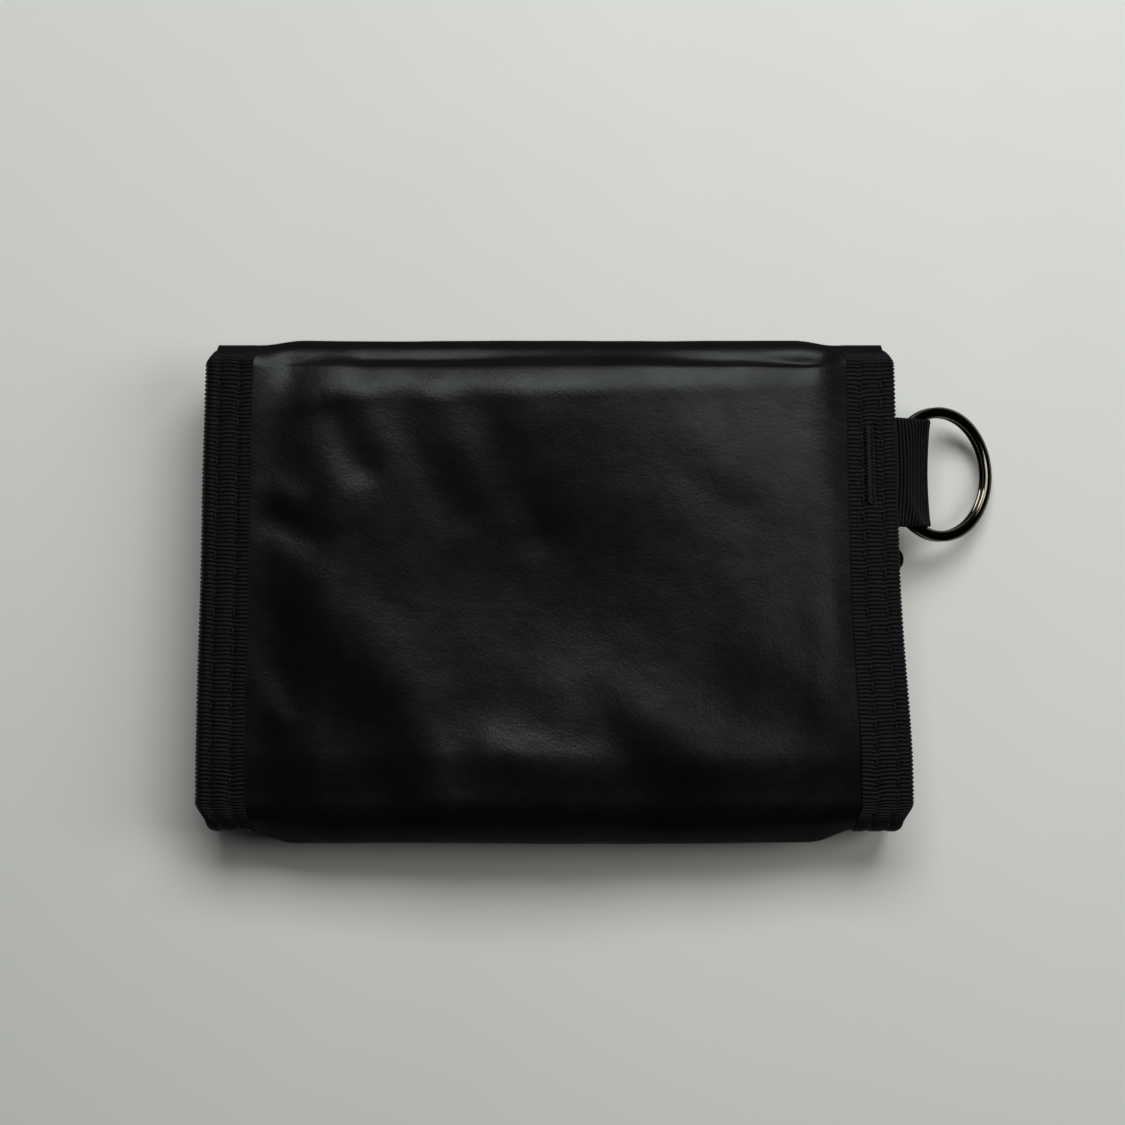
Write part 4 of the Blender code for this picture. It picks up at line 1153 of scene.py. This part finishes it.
window_rim = place(window_frame(), "inner_flap", "lining_fabric", "id_window_frame")
shapes = []
for line in FRAME_SEAMS:
    ring_line = rounded_rectangle(*line)
    shapes += stitch_line(ring_line + ring_line[:1], 0.05)
window_seam = trim("id_window_stitching", shapes, "inner_flap")
declare(window_rim, 86, 49, "laid", window, window_seam, area_mm=86 * 49 - 72 * 36)

# ------------------------------------------------------------------ key loop and split ring

RING_CENTRE = np.array([71.8, 21.2, 8.1])
RING_TILT = math.radians(33.0)
RING_RADIUS = 11.4
WIRE_WIDE, WIRE_TALL = 2.0, 1.0
LOOP_HALF = 9.75
SLOPE = np.array([math.cos(RING_TILT), -math.sin(RING_TILT)])
LIFT = np.array([math.sin(RING_TILT), math.cos(RING_TILT)])


def smooth_line(points, count):
    """A Catmull-Rom line through points, with count evenly spaced stations."""
    points = np.asarray(points, float)
    ends = np.concatenate([[2 * points[0] - points[1]], points, [2 * points[-1] - points[-2]]])
    fine = []
    t = np.linspace(0, 1, 24, endpoint=False)[:, None]
    for a, b, c, d in zip(ends, ends[1:], ends[2:], ends[3:]):
        square, cube = 2 * a - 5 * b + 4 * c - d, 3 * b - a - 3 * c + d
        fine.append(0.5 * (2 * b + (c - a) * t + square * t ** 2 + cube * t ** 3))
    fine = np.concatenate(fine + [points[-1:]])
    length = np.concatenate([[0], np.cumsum(np.linalg.norm(np.diff(fine, axis=0), axis=1))])
    even = np.linspace(0, length[-1], count)
    return np.stack([np.interp(even, length, fine[:, i]) for i in range(fine.shape[1])], -1), length[-1]


def webbing_route():
    """The strap's line in X and Z: from under the binding, round the wire and back."""
    wire_edge = RING_RADIUS - 2.1 / 2
    reach = math.sqrt(wire_edge ** 2 - LOOP_HALF ** 2) + 1.7
    centre = RING_CENTRE[[0, 2]]
    near, far = centre - SLOPE * RING_RADIUS, centre - SLOPE * reach
    start = math.atan2(LIFT[1], LIFT[0])
    clear = 2.05  # from the wire's middle to the strap's
    far_angles = [start - math.pi * i / 6 for i in range(7)]
    near_angles = [start - math.pi - i * math.pi / 7.5 for i in range(5)]
    turns = [middle + clear * np.array([math.cos(angle), math.sin(angle)])
             for middle, angles in ((far, far_angles), (near, near_angles)) for angle in angles]
    return [(58.0, 17.55), (61.4, 17.55), (63.0, 17.15), *turns, (59.9, 16.55), (58.0, 16.6)]


LOOP_LINE, LOOP_LENGTH = smooth_line(webbing_route(), 420)
LOOP_S = np.linspace(0, LOOP_LENGTH, len(LOOP_LINE))
LOOP_NORMAL = np.gradient(LOOP_LINE, axis=0)
LOOP_NORMAL = unit(np.stack([-LOOP_NORMAL[:, 1], LOOP_NORMAL[:, 0]], -1))


def webbing_point(s, y, side=1.0):
    """A point of the strap's outside (side 1) or inside (-1), s along it and y across it."""
    x, z = np.interp(s, LOOP_S, LOOP_LINE[:, 0]), np.interp(s, LOOP_S, LOOP_LINE[:, 1])
    nx, nz = np.interp(s, LOOP_S, LOOP_NORMAL[:, 0]), np.interp(s, LOOP_S, LOOP_NORMAL[:, 1])
    across = np.clip(np.abs(y) / LOOP_HALF, 0, 1)
    past = np.clip(np.abs(y) - LOOP_HALF + 0.5, 0, None) / 0.55  # into the round selvedge
    thin = 0.35 * np.sqrt(np.clip(1 - past ** 2, 0.02, 1))
    bow = WEBBING_BOW * y * y
    plain = smooth(s, 11.5, 13.0) * (1 - smooth(s, 17, 20))
    weave = ribs(s + bow, WEBBING_PITCH, 0.50, 0.9) * smooth(s, 0.5, 3) * (1 - 0.6 * plain)
    from_centre = (x - RING_CENTRE[0]) * SLOPE[0] + (z - RING_CENTRE[2]) * SLOPE[1]
    wire = np.sqrt(np.clip(RING_RADIUS ** 2 - y ** 2, 0, None))
    over = np.exp(-(((-from_centre - wire) / 1.9) ** 2)) * smooth(s, 4, 7)
    sag = 0.30 * (over - 0.55) * smooth(s, 4, 8) * (1 - smooth(s, 17.0, 20.0))
    hollow = 0.6 * (1 - across ** 2) * smooth(s, 7.0, 13.0) * (1 - smooth(s, 19.0, 24.0))
    out = side * thin + (weave if side > 0 else 0) * (thin / 0.35) + sag - hollow
    return spot(x + nx * out, RING_CENTRE[1] + y, z + nz * out)


LOOP_ROWS = np.concatenate([[-9.75, -9.65, -9.5], stations(-9.25, 9.25, 0.55), [9.5, 9.65, 9.75]])
webbing = slab("key_loop_webbing", stations(0, LOOP_LENGTH, 0.075), LOOP_ROWS,
               webbing_point, lambda s, y: webbing_point(s, y, -1.0), WEBBING_LOOK)
place(webbing, "key_loop", "webbing", "key_loop_webbing")
declare(webbing, 2 * LOOP_HALF, LOOP_LENGTH, "folded", "key_ring")

# Bartack: a dense zigzag of thread over a core, sewn through tape and webbing.


def bartack_shapes(width=0.78, strokes=46):
    tape = SIDES["top"]
    u = tape.leg - (tape.bend_x - BARTACK_X)
    steps = np.linspace(0, 1, strokes * 6)
    sway = np.arcsin(np.sin(steps * strokes * math.pi)) / (math.pi / 2)
    s = BARTACK_S + (steps - 0.5) * 2 * BARTACK_HALF
    thread_line = tape.at(u + width * sway, s, TAPE / 2 + 0.22 - 0.38 * np.abs(sway) ** 3)
    core_s = BARTACK_S + np.linspace(-BARTACK_HALF, BARTACK_HALF, 30)
    core = tape.at(u + 0 * core_s, core_s, TAPE / 2 - 0.06 + 0 * core_s)
    return [tube(thread_line, 0.17, 6), tube(core, 0.42, 8)]


bartack = mesh_object("key_loop_bartack", *joined(bartack_shapes()), THREAD)
place(bartack, "middle_panel", "thread", "key_loop_bartack")


def split_ring():
    """Two turns of flat wire lying on each other, joined by a short climb."""
    climb = math.radians(34)
    total = 4 * math.pi - climb
    theta = np.linspace(0, total, 460)
    height = -WIRE_TALL * 0.52 + WIRE_TALL * 1.04 * smooth(theta, 2 * math.pi - climb, 2 * math.pi)
    start = math.pi + climb / 2  # the climb lies under the strap
    around = np.linspace(0, 2 * math.pi, 28, endpoint=False)
    across, up = np.cos(around), np.sin(around)  # a flattened round, domed on all sides
    section = np.stack([WIRE_WIDE / 2 * np.sign(across) * np.abs(across) ** 0.9,
                        WIRE_TALL / 2 * np.sign(up) * np.abs(up) ** 0.9], -1)
    ends = np.minimum(np.minimum(theta, total - theta) / 0.06, 1.0)
    shrink = 0.72 + 0.28 * np.sqrt(np.clip(1 - (1 - ends) ** 2, 0, 1))
    radius = RING_RADIUS + section[:, 0] * shrink[:, None]
    along_axis = height[:, None] + section[:, 1] * shrink[:, None]
    angle = (start + theta)[:, None]
    flat = np.stack([radius * np.cos(angle), radius * np.sin(angle), along_axis], -1)
    x = RING_CENTRE[0] + flat[..., 0] * math.cos(RING_TILT) + flat[..., 2] * math.sin(RING_TILT)
    y = RING_CENTRE[1] + flat[..., 1]
    z = RING_CENTRE[2] - flat[..., 0] * math.sin(RING_TILT) + flat[..., 2] * math.cos(RING_TILT)
    points = np.stack([x, y, z], -1).reshape(-1, 3)
    return points, [[face[0], *face[:0:-1]] for face in tube_faces(len(theta), len(section))]


place(mesh_object("key_ring", *split_ring(), METAL), "key_ring", "black_nickel", "key_ring")

# ------------------------------------------------------------------ floor, light and camera


def table_look():
    look = Look("table")
    look.vary("Base Color", (0.585, 0.605, 0.58), (0.615, 0.635, 0.61), 140, 3)
    look.vary("Roughness", 0.68, 0.8, 30, 3)
    look.set("Normal", look.bump(look.noise(0.6), 0.01))
    return look.data


bpy.ops.mesh.primitive_grid_add(x_subdivisions=4, y_subdivisions=4, size=3.0, location=(0, 0, -0.00065))
floor = bpy.context.object
floor.name = "table"
floor.data.materials.append(table_look())


def lamp(name, where, aim, size, power, colour):
    light = bpy.data.lights.new(name, "AREA")
    light.shape = "RECTANGLE"
    light.size, light.size_y = size
    light.energy = power
    light.color = colour
    made = bpy.data.objects.new(name, light)
    made.location = where
    made.rotation_euler = (Vector(aim) - Vector(where)).to_track_quat("-Z", "Y").to_euler()
    bpy.context.scene.collection.objects.link(made)


lamp("window", (0.07, 0.37, 0.53), (0, 0, 0), (0.46, 0.28), 3.8, (1.0, 0.995, 0.975))
lamp("side", (0.60, 0.10, 0.62), (0.1, 0, 0), (0.35, 0.5), 2.6, (1.0, 1.0, 0.96))

# Bright low down and on the window's side, dark overhead, in front and at the far right.
room = Look("room", bpy.data.worlds, "Background")
direction = room.tree.nodes.new("ShaderNodeTexCoord")
split = room.tree.nodes.new("ShaderNodeSeparateXYZ")
room.tree.links.new(direction.outputs["Generated"], split.inputs[0])
east, north, up = split.outputs
room.set("Color", (0.96, 1.0, 0.985))
window_side = room.spread(north, 0.12, 1.0, -0.5, 0.6)
far_right = room.spread(east, 1.0, 0.1, 0.1, 0.85)
sides = room.math("MULTIPLY", window_side, far_right)
room.set("Strength", room.math("MULTIPLY", room.spread(up, 0.17, 0.006, 0.2, 0.85), sides))
bpy.context.scene.world = room.data
bpy.context.scene.view_settings.view_transform = "Standard"

lens = bpy.data.cameras.new("camera")
lens.lens = 76.8
lens.clip_start = 0.01
camera = bpy.data.objects.new("camera", lens)
aim = Vector((0.0023, 0.0052, 0.0))
camera.location = aim + Vector((0.0, -0.012, 0.45))
camera.rotation_euler = (aim - camera.location).to_track_quat("-Z", "Y").to_euler()
bpy.context.scene.collection.objects.link(camera)
bpy.context.scene.camera = camera
